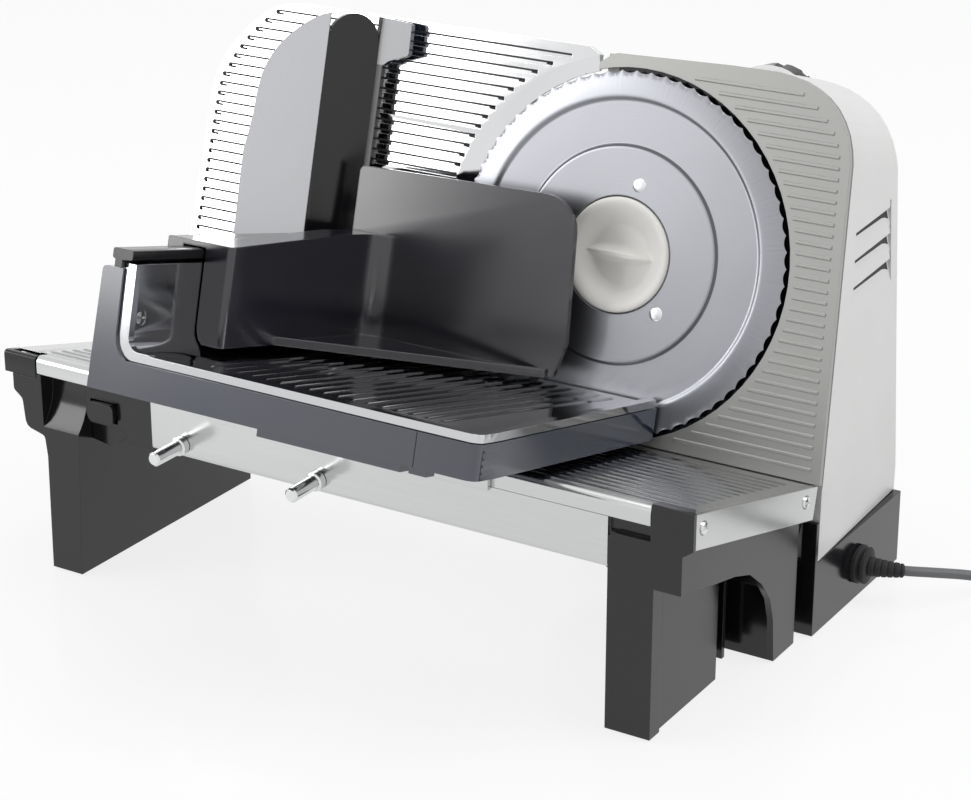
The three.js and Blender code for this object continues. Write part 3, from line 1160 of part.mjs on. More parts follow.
for (let x = TRAY_LEFT + 30; x < TRAY_RIGHT_BACK - 12; x += TRAY_RIB_PITCH) {
  trayRibs.push(extrudeY([
    [x - 1.5, TRAY_FLOOR - TRAY_SHEET / 2], [x + 1.5, TRAY_FLOOR - TRAY_SHEET / 2],
    [x + 0.7, TRAY_FLOOR + TRAY_RIB_HEIGHT], [x - 0.7, TRAY_FLOOR + TRAY_RIB_HEIGHT],
  ], TRAY_FRONT + 20, ribEnd));
}
const wallScrewSpot = [TRAY_FRONT + 8, TRAY_FLOOR + 16.7];
const wallScrewHead = 3.2;
const wallScrewHole = barX(wallScrewHead / 2 + SEAT_GAP, TRAY_LEFT - 12, TRAY_LEFT, ...wallScrewSpot, 12);
const wallScrewSeat = barX(wallScrewHead + SEAT_GAP, TRAY_LEFT - TRAY_SHEET - SEAT_GAP / 2,
  TRAY_LEFT + 8, ...wallScrewSpot, 20);
const tray = cut(join(sheet, rim, hem, trayRibs), wallScrewSeat);
piece(leaning, 'carriage_tray', tray, 0x8f9296, 0.2, 1);
piece(leaning, 'wall_screw',
  screwSolid(TRAY_LEFT - 0.4, ...wallScrewSpot, wallScrewHead, 9), CHROME, 0.25, 1);

// Carriage frame: plastic skirt and deck under the tray with a tall hand panel on the left
const deckTop = TRAY_FLOOR - TRAY_SHEET - SEAT_GAP;
const deckBottom = deckTop - SKIRT_WALL;
const framePlan = (inset) => outline([
  [HAND_PANEL_LEFT + inset, TRAY_FRONT - 1.5 + inset, 6],
  [TRAY_RIGHT_FRONT + 0.8 - inset, TRAY_FRONT - 1.5 + inset, 5],
  [TRAY_RIGHT_FRONT + 0.8 - inset, TRAY_FRONT + 16], [TRAY_RIGHT_BACK + 0.8 - inset, TRAY_BACK - inset],
  [HAND_PANEL_LEFT + inset, TRAY_BACK - inset],
], 4);
const skirt = cut(
  extrudeZ(framePlan(0), SKIRT_BOTTOM, deckTop),
  extrudeZ(framePlan(SKIRT_WALL), SKIRT_BOTTOM - 5, deckBottom),
);
const panelInner = TRAY_LEFT - TRAY_SHEET - SEAT_GAP;
const panelHollow = block(
  [HAND_PANEL_LEFT + SKIRT_WALL, panelInner - SKIRT_WALL - 8], [TRAY_FRONT + 12, TRAY_BACK - 4],
  [SKIRT_BOTTOM - 5, HAND_PANEL_TOP - 4],
);
const handPanel = extrudeY(outline([
    [HAND_PANEL_LEFT, SKIRT_BOTTOM], [panelInner - wallFillet - 1, SKIRT_BOTTOM],
    [panelInner - wallFillet - 1, deckTop - 1], [panelInner + 9, deckTop - 1], [panelInner + 9, deckTop],
    [panelInner, TRAY_FLOOR - TRAY_SHEET - SEAT_GAP, wallFillet + TRAY_SHEET + 0.3],
    [panelInner, HAND_PANEL_TOP], [HAND_PANEL_LEFT + 1.5, HAND_PANEL_TOP, 2],
  ], 4), TRAY_FRONT + 4 + SEAT_GAP, TRAY_BACK);
const frontPanel = cut(
  extrudeY(outline([
    [HAND_PANEL_LEFT, SKIRT_BOTTOM], [TRAY_LEFT + 20, SKIRT_BOTTOM], [TRAY_LEFT + 20, deckTop],
    [TRAY_LEFT - TRAY_RIM_WIDTH - SEAT_GAP, deckTop - 2, wallFillet + TRAY_RIM_WIDTH],
    [TRAY_LEFT - TRAY_RIM_WIDTH - SEAT_GAP, HAND_PANEL_TOP],
    [HAND_PANEL_LEFT + 1.5, HAND_PANEL_TOP, 2],
  ], 4), TRAY_FRONT - 1.5, TRAY_FRONT + 8),
  extrudeY(hemOutline(0.6 + SEAT_GAP).map((p) => p), TRAY_FRONT - 5, TRAY_FRONT + 4 + SEAT_GAP),
);
const padRows = [[-118, -108], [-32, -22]];
const padBottom = BASE_TOP + BASE_RIB_HEIGHT + SEAT_GAP;
const padTop = padBottom + PAD_STRIP;
const runLeft = -130;
const runRight = 20;
const underStrip = block([-62.5, 10.5], [TRAY_FRONT - 0.5, TRAY_FRONT + 9],
  [SKIRT_BOTTOM - 3.4, SKIRT_BOTTOM + 2]);
const underTab = block([14.6, 23.2], [TRAY_FRONT - 0.5, TRAY_FRONT + 6],
  [SKIRT_BOTTOM - 2.9, SKIRT_BOTTOM + 2]);
const cornerRibs = [0, 1, 2, 3].map((i) => block(
  [TRAY_RIGHT_FRONT - 0.5, TRAY_RIGHT_FRONT + 1.3], [TRAY_FRONT + 4, TRAY_FRONT + 14],
  [SKIRT_BOTTOM + 2.6 + i * 3, SKIRT_BOTTOM + 3.6 + i * 3],
));
const seam = block([16.6, 17.1], [TRAY_FRONT - 4, TRAY_FRONT - 1.1], [SKIRT_BOTTOM - 1, deckTop + 1]);
const padRibs = padRows.map(([y0, y1]) => block(
  [runLeft, runRight], [y0 + 2, y1 - 2], [padTop + SEAT_GAP, deckTop - 1],
));
const carriageFrame = cut(
  join(skirt, handPanel, frontPanel, padRibs, underStrip, underTab, cornerRibs),
  panelHollow,
  wallScrewHole,
  seam,
);
piece(leaning, 'carriage_frame', carriageFrame, BLUE_GREY, 0.3);
padRows.forEach(([y0, y1], i) => {
  piece(leaning, i ? 'slide_pad_rear' : 'slide_pad_front',
    block([runLeft, runRight], [y0, y1], [padBottom, padTop]), NYLON, 0.4);
});

// Runner: bent guide under the carriage that rides along the front lip of the base
const runnerTopY = leaningYZ(BASE_FRONT - 4, 120)[0];
const lipClear = BASE_FRONT - SEAT_GAP;
const runnerTop = deckBottom - SEAT_GAP;
const runnerProfile = outline([
  [lipClear, LIP_BOTTOM - 1], [lipClear, uprightYZ(leaningYAt(lipClear, runnerTop - 2), runnerTop - 2)[1]],
  uprightYZ(leaningYAt(lipClear, runnerTop) + 14, runnerTop - 2),
  uprightYZ(leaningYAt(lipClear, runnerTop) + 14, runnerTop),
  [...uprightYZ(leaningYAt(lipClear - 2.5, runnerTop), runnerTop), 2],
  [lipClear - 2.5, LIP_BOTTOM - 1],
], 3);
piece(upright, 'carriage_runner', extrudeX(runnerProfile, runLeft, runRight), STEEL, 0.3, 1);

// Rail on top of the wall, which the food holder slides along
const railBottom = HAND_PANEL_TOP + SEAT_GAP;
const railTop = railBottom + 3.4 + RAIL_HEIGHT;
const railBack = GUARD_FRONT - 4;
const railStem = TRAY_LEFT - TRAY_RIM_WIDTH - 0.5;
const rail = extrudeY(outline([
  [-146.5, railBottom], [railStem, railBottom], [railStem, railTop - RAIL_HEIGHT],
  [TRAY_LEFT, railTop - RAIL_HEIGHT + 0.6, 1], [TRAY_LEFT, railTop, 1], [-148, railTop, 1],
  [-148, railTop - RAIL_HEIGHT + 0.6, 1], [-146.5, railTop - RAIL_HEIGHT],
], 2), TRAY_FRONT - 2.5, railBack);
piece(leaning, 'wall_rail', rail, BLACK, 0.3);

// Thumb guard: tall bent shield between the hand and the blade
const guardPlan = [
  [GUARD_LEFT - 1, GUARD_FRONT], [-157, GUARD_FRONT], [-142.6, -8], [-120, -8],
  [-120, -8 + GUARD_WALL], [-144.6, -8 + GUARD_WALL], [-158.8, GUARD_FRONT + GUARD_WALL],
  [GUARD_LEFT - 1, GUARD_FRONT + GUARD_WALL],
];
const guardFoot = HAND_PANEL_TOP + SEAT_GAP;
const guardCorner = through([
  [GUARD_LEFT - 0.5, GUARD_TOP - 74.4], [GUARD_LEFT + 2.5, GUARD_TOP - 58],
  [GUARD_LEFT + 4.3, GUARD_TOP - 39], [GUARD_LEFT + 8, GUARD_TOP - 28.6],
  [GUARD_LEFT + 12.7, GUARD_TOP - 21.1], [GUARD_LEFT + 18.9, GUARD_TOP - 14.4],
  [GUARD_LEFT + 26.9, GUARD_TOP - 8.1], [GUARD_LEFT + 35, GUARD_TOP - 3.2],
  [GUARD_LEFT + 42.4, GUARD_TOP - 0.8], [GUARD_LEFT + 49.5, GUARD_TOP],
], 16).reverse();
const guardFrontOutline = [...outline([
  [HAND_PANEL_LEFT - SEAT_GAP - 0.2, BASE_TOP + 24.4], [HAND_PANEL_LEFT - SEAT_GAP - 0.2, guardFoot],
  [TRAY_LEFT - TRAY_SHEET - 0.7, guardFoot], [TRAY_LEFT - TRAY_SHEET - 0.7, GUARD_TOP - 23.4],
  [TRAY_LEFT + 1, GUARD_TOP - 20.9, 3], [TRAY_LEFT + 12, GUARD_TOP - 16.9, 2],
  [TRAY_LEFT + 11.7, GUARD_TOP - 1.2, 2], [GUARD_LEFT + 49.5, GUARD_TOP],
], 3), ...guardCorner.slice(1), [GUARD_LEFT, BASE_TOP + 32.4],
[GUARD_LEFT + 2.5, BASE_TOP + 26.9], [GUARD_LEFT + 8, BASE_TOP + 24.4]];
const guardWallFrom = new THREE.Vector2(...guardPlan[1]);
const guardWallTo = new THREE.Vector2(...guardPlan[2]);
const guardWallRun = guardWallFrom.distanceTo(guardWallTo);
const guardHead = guardWallRun / 2 - 0.4;
const guardTurn = new THREE.Matrix4().makeTranslation(guardWallFrom.x, guardWallFrom.y, 0)
  .multiply(new THREE.Matrix4().makeRotationZ(
    Math.atan2(guardWallTo.y - guardWallFrom.y, guardWallTo.x - guardWallFrom.x),
  ));
const headRise = GUARD_TOP - guardHead;
const headCorners = [1, -1].map((side) => {
  const rim = arc(guardHead, side > 0 ? 0 : 180, 90, 8, guardWallRun / 2, headRise);
  return extrudeY(
    [...rim, [guardWallRun / 2, GUARD_TOP + 6],
      [guardWallRun / 2 + side * guardHead, GUARD_TOP + 6]],
    -2, GUARD_WALL + 2, guardTurn,
  );
});
const thumbGuard = cut(
  extrudeZ(guardPlan, BASE_TOP + 6.4, GUARD_TOP + 16.6)
    .intersect(extrudeY(guardFrontOutline, -60, 10)),
  headCorners,
);
piece(leaning, 'thumb_guard', thumbGuard, 0x3a4048, 0.25);

// Food holder: hollow grip box, pusher plate and a low triangular shelf between them
const holderLeft = TRAY_LEFT + 0.6;
const holderRight = holderLeft + HOLDER_BOX_WIDTH;
const plateBack = PLATE_FRONT + PLATE_THICKNESS;
const hoodBottom = railTop + 0.6;
const hoodTop = hoodBottom + 2.4;
const lipBack = GUARD_FRONT - 14;
const holderTopAt = (y) => hoodTop + ((y - HOLDER_FRONT) * 5) / 89;
const fillet = 22;
const gripPlan = outline([
  [holderLeft, HOLDER_FRONT], [holderRight, HOLDER_FRONT, 3], [holderRight, PLATE_FRONT, fillet],
  [holderRight + fillet + 1, PLATE_FRONT], [holderRight + fillet + 1, plateBack],
  [holderLeft, plateBack],
], 5);
const gripSide = [
  [HOLDER_FRONT - 1, HOLDER_BOTTOM], [plateBack + 1, HOLDER_BOTTOM],
  [plateBack + 1, holderTopAt(-49)], [-49, holderTopAt(-49)], [HOLDER_FRONT - 1, hoodTop],
];
const insideTray = extrudeY(outline([
  [80, TRAY_FLOOR + 0.6], [80, TRAY_FLOOR + 125], [TRAY_LEFT + 0.6, TRAY_FLOOR + 125],
  [TRAY_LEFT + 0.6, TRAY_FLOOR + 0.6, wallFillet],
], 5), -200, 20);
const grip = extrudeZ(gripPlan, -80, 40)
  .intersect(extrudeX(gripSide, -150, 20))
  .intersect(insideTray);
const gripHollow = block(
  [holderLeft + HOLDER_WALL, holderRight - HOLDER_WALL],
  [HOLDER_FRONT + HOLDER_WALL, plateBack - 6], [HOLDER_BOTTOM - 5, hoodTop - 4.5],
);
const hood = extrudeY(outline([
  [-158, hoodBottom, 1], [holderLeft + 2, hoodBottom], [holderLeft + 2, hoodTop], [-158, hoodTop, 1],
], 3), HOLDER_FRONT, lipBack);
const hoodHook = extrudeY(outline([
  [-158, hoodBottom - 5, 1], [-150, hoodBottom - 5, 1], [-149, hoodBottom + 0.5],
  [-158, hoodBottom + 0.5],
], 2), HOLDER_FRONT, lipBack);
const plateOutline = outline([
  [holderLeft, HOLDER_BOTTOM], [PLATE_RIGHT - 3.2, HOLDER_BOTTOM + 0.6],
  [PLATE_RIGHT + 1.4, HOLDER_BOTTOM + 17.5],
  [PLATE_RIGHT - 3.4, PLATE_TOP, 17], [holderLeft, PLATE_TOP - 2.8, 3],
], 6);
const pusher = extrudeY(plateOutline, PLATE_FRONT, plateBack).intersect(insideTray);
const shelfTip = PLATE_RIGHT - 6.6;
const shelfFront = HOLDER_FRONT + 40;
const shelf = extrudeZ([
  [holderRight - 1, shelfFront], [shelfTip, PLATE_FRONT - 1.5], [shelfTip, PLATE_FRONT + 1],
  [holderRight - 1, PLATE_FRONT + 1],
], HOLDER_BOTTOM, HOLDER_BOTTOM + 1.8);
const lipDir = new THREE.Vector2(shelfTip - holderRight + 1, PLATE_FRONT - 1.5 - shelfFront).normalize();
const across = new THREE.Vector2(-lipDir.y, lipDir.x).multiplyScalar(2.2);
const shelfLip = extrudeZ([
  [holderRight - 1, shelfFront], [shelfTip, PLATE_FRONT - 1.5],
  [shelfTip + across.x, PLATE_FRONT - 1.5 + across.y + 2],
  [holderRight - 1, shelfFront + 4.4],
], HOLDER_BOTTOM, HOLDER_BOTTOM + 4);
const holder = cut(join(grip, hood, hoodHook, pusher, shelf, shelfLip), gripHollow);
piece(leaning, 'food_holder', holder, 0x26262c, 0.2);

// Spiked strip on the back of the pusher plate that grips the food
const stripX = [-112, -40];
const stripZ = [HOLDER_BOTTOM + 13.5, HOLDER_BOTTOM + 65.5];
const toothStrip = block(stripX, [plateBack + SEAT_GAP, plateBack + SEAT_GAP + 1.4], stripZ);
const teeth = [];
for (let row = 0; row < TOOTH_ROWS; row += 1) {
  for (let column = 0; column < TOOTH_COLUMNS; column += 1) {
    const x = stripX[0] + ((stripX[1] - stripX[0]) * (column + 0.5)) / TOOTH_COLUMNS;
    const z = stripZ[0] + ((stripZ[1] - stripZ[0]) * (row + 0.5)) / TOOTH_ROWS;
    const y = plateBack + SEAT_GAP + 1;
    teeth.push(turned([[0, y], [1.8, y], [0, y + TOOTH_LENGTH]], 4, x, z));
  }
}
piece(leaning, 'holder_teeth', join(toothStrip, teeth), BLACK, 0.5);

// Mains cord: grommet, a free stretch, a wound coil with its tie, a tail and a two-pin plug
const cordRadius = CORD_DIAMETER / 2;
const [exitX, exitY, exitZ] = CORD_EXIT;
const neck = cordRadius + 2.6;
const grommetProfile = [
  [cordRadius + SEAT_GAP, -5], [neck, -5], [neck, SEAT_GAP], [GROMMET_RADIUS, SEAT_GAP],
  [GROMMET_RADIUS, 2.4], [GROMMET_RADIUS - 1.6, 3], [GROMMET_RADIUS - 1.6, 3.8],
  [GROMMET_RADIUS - 0.4, 4.4], [GROMMET_RADIUS - 1, GROMMET_DEPTH], [neck - 0.6, GROMMET_DEPTH],
  [neck - 1, GROMMET_DEPTH - 3], [cordRadius + SEAT_GAP, GROMMET_DEPTH - 3],
];
const grommetLoop = [...grommetProfile, grommetProfile[0]]
  .map(([r, t]) => new THREE.Vector2(r, t));
piece(upright, 'cord_grommet', toSolid(
  new THREE.LatheGeometry(grommetLoop, 16).applyMatrix4(axisToX).translate(...CORD_EXIT),
), BLACK, 0.6);

function tube(points, steps, sides) {
  const curve = new THREE.CatmullRomCurve3(points.map((p) => new THREE.Vector3(...p)));
  const section = new THREE.Shape();
  for (let i = 0; i < sides; i += 1) {
    const angle = (2 * Math.PI * i) / sides;
    const [u, v] = [cordRadius * Math.cos(angle), cordRadius * Math.sin(angle)];
    if (i) section.lineTo(u, v);
    else section.moveTo(u, v);
  }
  return new THREE.ExtrudeGeometry(section, { steps, extrudePath: curve, bevelEnabled: false });
}

// The coil spirals in and out in layers and climbs one layer in each reversing half turn
const floorLift = TIE_THICKNESS + SEAT_GAP + 0.1;
const turnsPerLayer = COIL_LOOPS / COIL_LAYERS;
const coilOuter = COIL_INNER + COIL_PITCH * turnsPerLayer;
function coilPoint(turn) {
  const layer = Math.min(COIL_LAYERS - 1, Math.floor(turn / turnsPerLayer));
  const along = turn - layer * turnsPerLayer;
  const inward = layer % 2 === 0;
  const r = inward ? coilOuter - COIL_PITCH * along : COIL_INNER + COIL_PITCH * along;
  let height = layer;
  const toNext = turnsPerLayer - along;
  if (toNext < 0.25 && layer < COIL_LAYERS - 1) height = layer + 0.5 - 2 * toNext;
  if (along < 0.25 && layer > 0) height = layer - 0.5 + 2 * along;
  const angle = COIL_START + 2 * Math.PI * turn;
  return new THREE.Vector3(
    COIL_CENTRE[0] + r * Math.cos(angle),
    COIL_CENTRE[1] + r * Math.sin(angle),
    floorLift + cordRadius + height * COIL_PITCH,
  );
}
const COIL_START = -Math.PI / 2;
const coilPath = [];
const coilSteps = COIL_LOOPS * 24;
for (let i = 0; i <= coilSteps; i += 1) coilPath.push(coilPoint((i * COIL_LOOPS) / coilSteps));
const startDir = new THREE.Vector3(1, 0, 0);
const endDir = startDir;
coilPath.unshift(coilPath[0].clone().addScaledVector(startDir, -CORD_DIAMETER));
coilPath.push(coilPath[coilPath.length - 1].clone().addScaledVector(endDir, CORD_DIAMETER));

function sweptCoil(path, sides) {
  const positions = [];
  const index = [];
  path.forEach((point, i) => {
    const before = path[Math.max(0, i - 1)];
    const after = path[Math.min(path.length - 1, i + 1)];
    const forward = after.clone().sub(before);
    if (i < 2) forward.copy(startDir);
    if (i > path.length - 3) forward.copy(endDir);
    forward.normalize();
    const side = new THREE.Vector3(-forward.y, forward.x, 0).normalize();
    const up = new THREE.Vector3().crossVectors(forward, side).normalize();
    for (let k = 0; k < sides; k += 1) {
      const angle = (2 * Math.PI * (k + 0.5)) / sides;
      const spot = point.clone()
        .addScaledVector(side, cordRadius * Math.cos(angle))
        .addScaledVector(up, cordRadius * Math.sin(angle));
      positions.push(spot.x, spot.y, spot.z);
    }
  });
  for (let i = 0; i < path.length - 1; i += 1) {
    for (let k = 0; k < sides; k += 1) {
      const a = i * sides + k;
      const b = i * sides + ((k + 1) % sides);
      index.push(a, a + sides, b + sides, a, b + sides, b);
    }
  }
  const last = (path.length - 1) * sides;
  for (let k = 1; k < sides - 1; k += 1) {
    index.push(0, k, k + 1);
    index.push(last, last + k + 1, last + k);
  }
  const geometry = new THREE.BufferGeometry();
  geometry.setAttribute('position', new THREE.Float32BufferAttribute(positions, 3));
  geometry.setIndex(index);
  return geometry;
}

// Least gap of the coil to itself, measured between points more than two diameters apart along it
function leastGap(path) {
  const fine = new THREE.CatmullRomCurve3(path).getSpacedPoints(path.length * 2);
  const spacing = fine[0].distanceTo(fine[1]);
  const skip = Math.ceil((CORD_DIAMETER * 3) / spacing);
  let least = Infinity;
  for (let i = 0; i < fine.length; i += 1) {
    for (let j = i + skip; j < fine.length; j += 1) {
      least = Math.min(least, fine[i].distanceTo(fine[j]));
    }
  }
  return least - CORD_DIAMETER;
}
console.log(`least gap of the coil to itself: ${leastGap(coilPath).toFixed(2)} mm`);

const coilIn = coilPath[0].clone().addScaledVector(startDir, -SEAT_GAP);
const coilOut = coilPath[coilPath.length - 1].clone().addScaledVector(endDir, SEAT_GAP);
const lead = [
  [exitX - 4, exitY, exitZ], [exitX + 8, exitY, exitZ], [138, 32.6, 18.2], [150, 44.6, 15.2],
  [161, 60, 10.4], [176, 74.5, 5.2], [198, 79.4, cordRadius + 0.6],
  [coilIn.x - 12, coilIn.y, coilIn.z - 0.3], [coilIn.x, coilIn.y, coilIn.z],
];
piece(upright, 'power_cord', toSolid(tube(lead, 28, 8)), 0x55565a, 0.6);
piece(upright, 'cord_coil', toSolid(sweptCoil(coilPath, 6)), 0x55565a, 0.6);
const plugFrontX = coilOut.x + 74;
const plugY = coilOut.y - 6;
const plugHalf = 6.6;
const plugZ = plugHalf + 0.1;
const tail = [
  [coilOut.x, coilOut.y, coilOut.z], [coilOut.x + 10, coilOut.y, coilOut.z - 0.6],
  [coilOut.x + 26, coilOut.y - 1, 14], [coilOut.x + 46, coilOut.y - 4, 7.6],
  [plugFrontX - 8, plugY, plugZ], [plugFrontX - SEAT_GAP, plugY, plugZ],
];
piece(upright, 'cord_tail', toSolid(tube(tail, 12, 8)), 0x55565a, 0.6);
const coilTop = floorLift + CORD_DIAMETER + (COIL_LAYERS - 1) * COIL_PITCH;
const tieIn = COIL_INNER - cordRadius - SEAT_GAP;
const tieOut = coilOuter + cordRadius + SEAT_GAP;
const tieX = [COIL_CENTRE[0] + tieIn, COIL_CENTRE[0] + tieOut];
const tieOuter = outline([
  [tieX[0] - TIE_THICKNESS, 0, 1], [tieX[1] + TIE_THICKNESS, 0, 1],
  [tieX[1] + TIE_THICKNESS, coilTop + SEAT_GAP + TIE_THICKNESS, 2],
  [tieX[0] - TIE_THICKNESS, coilTop + SEAT_GAP + TIE_THICKNESS, 2],
], 3);
const tieInner = outline([
  [tieX[0], TIE_THICKNESS, 0.5], [tieX[1], TIE_THICKNESS, 0.5],
  [tieX[1], coilTop + SEAT_GAP, 1.4], [tieX[0], coilTop + SEAT_GAP, 1.4],
], 3);
const tieY = [COIL_CENTRE[1] - TIE_WIDTH / 2, COIL_CENTRE[1] + TIE_WIDTH / 2];
piece(upright, 'cord_tie', cut(
  extrudeY(tieOuter, ...tieY), extrudeY(tieInner, tieY[0] - 1, tieY[1] + 1),
), 0x2b2b2e, 0.7);
const plugBack = plugFrontX;
const plugTip = plugBack + PLUG_LENGTH;
const plugPlan = outline([
  [plugBack, plugY - 4.5, 2], [plugBack + 12, plugY - 5.5, 4],
  [plugTip - 12, plugY - PLUG_PIN_SPACING / 2 - 5, 5], [plugTip, plugY - PLUG_PIN_SPACING / 2 - 5, 1],
  [plugTip, plugY + PLUG_PIN_SPACING / 2 + 5, 1], [plugTip - 12, plugY + PLUG_PIN_SPACING / 2 + 5, 5],
  [plugBack + 12, plugY + 5.5, 4], [plugBack, plugY + 4.5, 2],
], 3);
const pinYs = [plugY - PLUG_PIN_SPACING / 2, plugY + PLUG_PIN_SPACING / 2];
const plugBody = cut(
  extrudeZ(plugPlan, plugZ - plugHalf, plugZ + plugHalf).intersect(extrudeX(outline([
    [plugY - 30, plugZ - plugHalf], [plugY + 30, plugZ - plugHalf],
    [plugY + 30, plugZ + plugHalf], [plugY - 30, plugZ + plugHalf],
  ]), plugBack - 1, plugTip + 1)),
  pinYs.map((y) => barX(PLUG_PIN_RADIUS + SEAT_GAP, plugTip - 8, plugTip + 2, y, plugZ, 16)),
);
piece(upright, 'plug_body', plugBody, 0x55565a, 0.6);
pinYs.forEach((y, i) => {
  piece(upright, `plug_pin_${i + 1}`,
    barX(PLUG_PIN_RADIUS, plugTip - 7.7, plugTip + PLUG_PIN_LENGTH, y, plugZ, 16), STEEL, 0.25, 1);
});
cordNames.push('power_cord', 'cord_coil', 'cord_tail', 'cord_tie', 'plug_body', 'plug_pin_1',
  'plug_pin_2', 'cord_grommet');

// The origin is the middle of the footprint of the machine itself, on the surface it stands on
slicer.updateMatrixWorld(true);
const box = new THREE.Box3();
slicer.traverse((node) => {
  if (node.isMesh && !cordNames.includes(node.name)) box.expandByObject(node, true);
});
slicer.position.set(
  -(box.min.x + box.max.x) / 2,
  -(box.min.y + box.max.y) / 2,
  -box.min.z,
);
slicer.updateMatrixWorld(true);

export default slicer;
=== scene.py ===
"""Electric meat slicer: finishes, fine pieces, light and camera over its fixed solid model."""

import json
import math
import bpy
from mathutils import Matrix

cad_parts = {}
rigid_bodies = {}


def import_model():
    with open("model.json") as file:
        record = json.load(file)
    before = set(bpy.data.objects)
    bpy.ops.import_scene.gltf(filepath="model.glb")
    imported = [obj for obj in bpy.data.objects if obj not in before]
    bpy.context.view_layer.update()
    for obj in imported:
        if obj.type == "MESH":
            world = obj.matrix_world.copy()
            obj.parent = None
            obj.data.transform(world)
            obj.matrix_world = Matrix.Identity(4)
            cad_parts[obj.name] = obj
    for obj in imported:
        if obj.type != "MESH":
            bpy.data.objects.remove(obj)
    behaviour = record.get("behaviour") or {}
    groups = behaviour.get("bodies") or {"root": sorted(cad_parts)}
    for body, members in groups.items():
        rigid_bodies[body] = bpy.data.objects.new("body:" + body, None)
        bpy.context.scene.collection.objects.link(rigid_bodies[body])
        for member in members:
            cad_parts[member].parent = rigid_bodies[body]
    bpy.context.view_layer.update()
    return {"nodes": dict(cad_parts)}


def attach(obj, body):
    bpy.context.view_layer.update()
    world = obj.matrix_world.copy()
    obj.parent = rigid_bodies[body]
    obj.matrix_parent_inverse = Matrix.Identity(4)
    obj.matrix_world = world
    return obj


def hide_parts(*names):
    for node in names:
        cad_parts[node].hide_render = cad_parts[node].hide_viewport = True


bl_info = {
    "name": "Electric Meat Slicer",
    "version": (1, 0, 0),
    "blender": (4, 5, 0),
    "location": "3D View > Sidebar > Slicer",
    "description": "Finishes and fine pieces of an electric meat slicer",
    "category": "Object",
}

import bmesh
import bpy
from bpy.props import FloatProperty, FloatVectorProperty, IntProperty, PointerProperty
from mathutils import Matrix, Vector

for thing in list(bpy.data.objects):
    bpy.data.objects.remove(thing)
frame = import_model()

MM = 0.001
LEAN = math.radians(15)
AXLE_HEIGHT = 161.0
# The machine's own drawing has its zero below the blade axle; the frame's is mid footprint
SHIFT = Vector((67.7722, 56.0001, 0.0))

# The camera, in the drawing's millimetres and in degrees
CAMERA_PLACE = Vector((557.9, -1022.4, 554.9))
CAMERA_DOWN = 21.9
CAMERA_ROUND = 31.7
CAMERA_LENS = 96.77

# Two frames for drawing in millimetres: upright, and leaning with its zero on the blade's axle
UPRIGHT = Matrix.Scale(MM, 4) @ Matrix.Translation(SHIFT)
LEANING = (
    Matrix.Scale(MM, 4)
    @ Matrix.Translation(SHIFT + Vector((0, 0, AXLE_HEIGHT)))
    @ Matrix.Rotation(-LEAN, 4, "X")
)

# Pressed sheets in the leaning frame: each face's height, and its ribs' on the solid and here
TRAY_FLOOR = -65.0
TRAY_RIB_SOLID = 1.2
TRAY_RIB = 0.5
DECK = -86.4
DECK_RIB_SOLID = 0.8
DECK_RIB = 0.42
RIB_MATCH = 0.08

# Grooves of the stop plate in the leaning frame, and the painted shade along them
FIRST_GROOVE = 88.0
LAST_GROOVE = -81.9
GROOVE_PITCH = 5.0
GROOVE_WIDTH = 2.4
CUT_OUT_RADIUS = 96.5
PLATE_RIGHT = -31.0
GROOVE_SHADE_HALF = 0.45
GROOVE_SHADE_FRONT = -0.015
GROOVE_SHADE_BACK = 0.35

# The louvres in the housing's right wall, upright, and the wall itself, which slopes both ways
LOUVRE_ROWS = 3
LOUVRE_TOP = 184.0
LOUVRE_PITCH = 12.5
LOUVRE_FRONT = 23.0
LOUVRE_STEP = 1.6
LOUVRE_BACK = 68.5
LOUVRE_DEPTH = 2.2
LOUVRE_SLOPE = 0.2387
WALL_X = 112.13
WALL_POINT = (20.0, 140.0)
WALL_SLOPES = (0.0571, 0.0538)

# The thickness dial on the back, upright
DIAL_X = 39.0
DIAL_Z = 215.0
DIAL_SEAT = 77.0
DIAL_FACE = 90.9
DIAL_MARKS = 16
DIAL_SWEEP = math.radians(270)

# The blade in the leaning frame: its bore, its step round the hub and its edge
BLADE_FRONT = -2.3
BLADE_BACK = 3.3
BLADE_BORE = 27.8
HUB_RADIUS = 50.2
RING_DEPTH = 0.8
BLADE_TIP = 86.2
RIVET_CIRCLE = 34.4
RIVET_ANGLES = (79, -44, -161)


# Small tools


def hex_colour(code):
    """Linear colour of an sRGB hex value."""
    parts = [int(code[i : i + 2], 16) / 255 for i in (1, 3, 5)]
    return (*[c / 12.92 if c <= 0.04045 else ((c + 0.055) / 1.055) ** 2.4 for c in parts], 1.0)


def feed(tree, node, inputs):
    """Sets a node's inputs, or links those whose value is another node's output."""
    for key, value in inputs.items():
        if isinstance(value, bpy.types.NodeSocket):
            tree.links.new(value, node.inputs[key])
        else:
            node.inputs[key].default_value = value


def add(tree, kind, inputs=None, **settings):
    """Adds a node, sets its options and feeds its inputs."""
    made = tree.nodes.new(kind)
    for key, value in settings.items():
        setattr(made, key, value)
    feed(tree, made, inputs or {})
    return made


def new_material(name):
    """An empty node material with its output and its surface shader."""
    material = bpy.data.materials.new(name)
    material.use_nodes = True
    tree = material.node_tree
    tree.nodes.clear()
    output = add(tree, "ShaderNodeOutputMaterial")
    shader = add(tree, "ShaderNodeBsdfPrincipled")
    tree.links.new(shader.outputs["BSDF"], output.inputs["Surface"])
    return material, tree, shader


def object_space(tree, stretch=(1, 1, 1), turn=(0, 0, 0)):
    """Object coordinates in metres, turned and then stretched."""
    place = add(tree, "ShaderNodeTexCoord")
    return add(
        tree,
        "ShaderNodeMapping",
        {"Vector": place.outputs["Object"], "Scale": stretch, "Rotation": turn},
    ).outputs["Vector"]


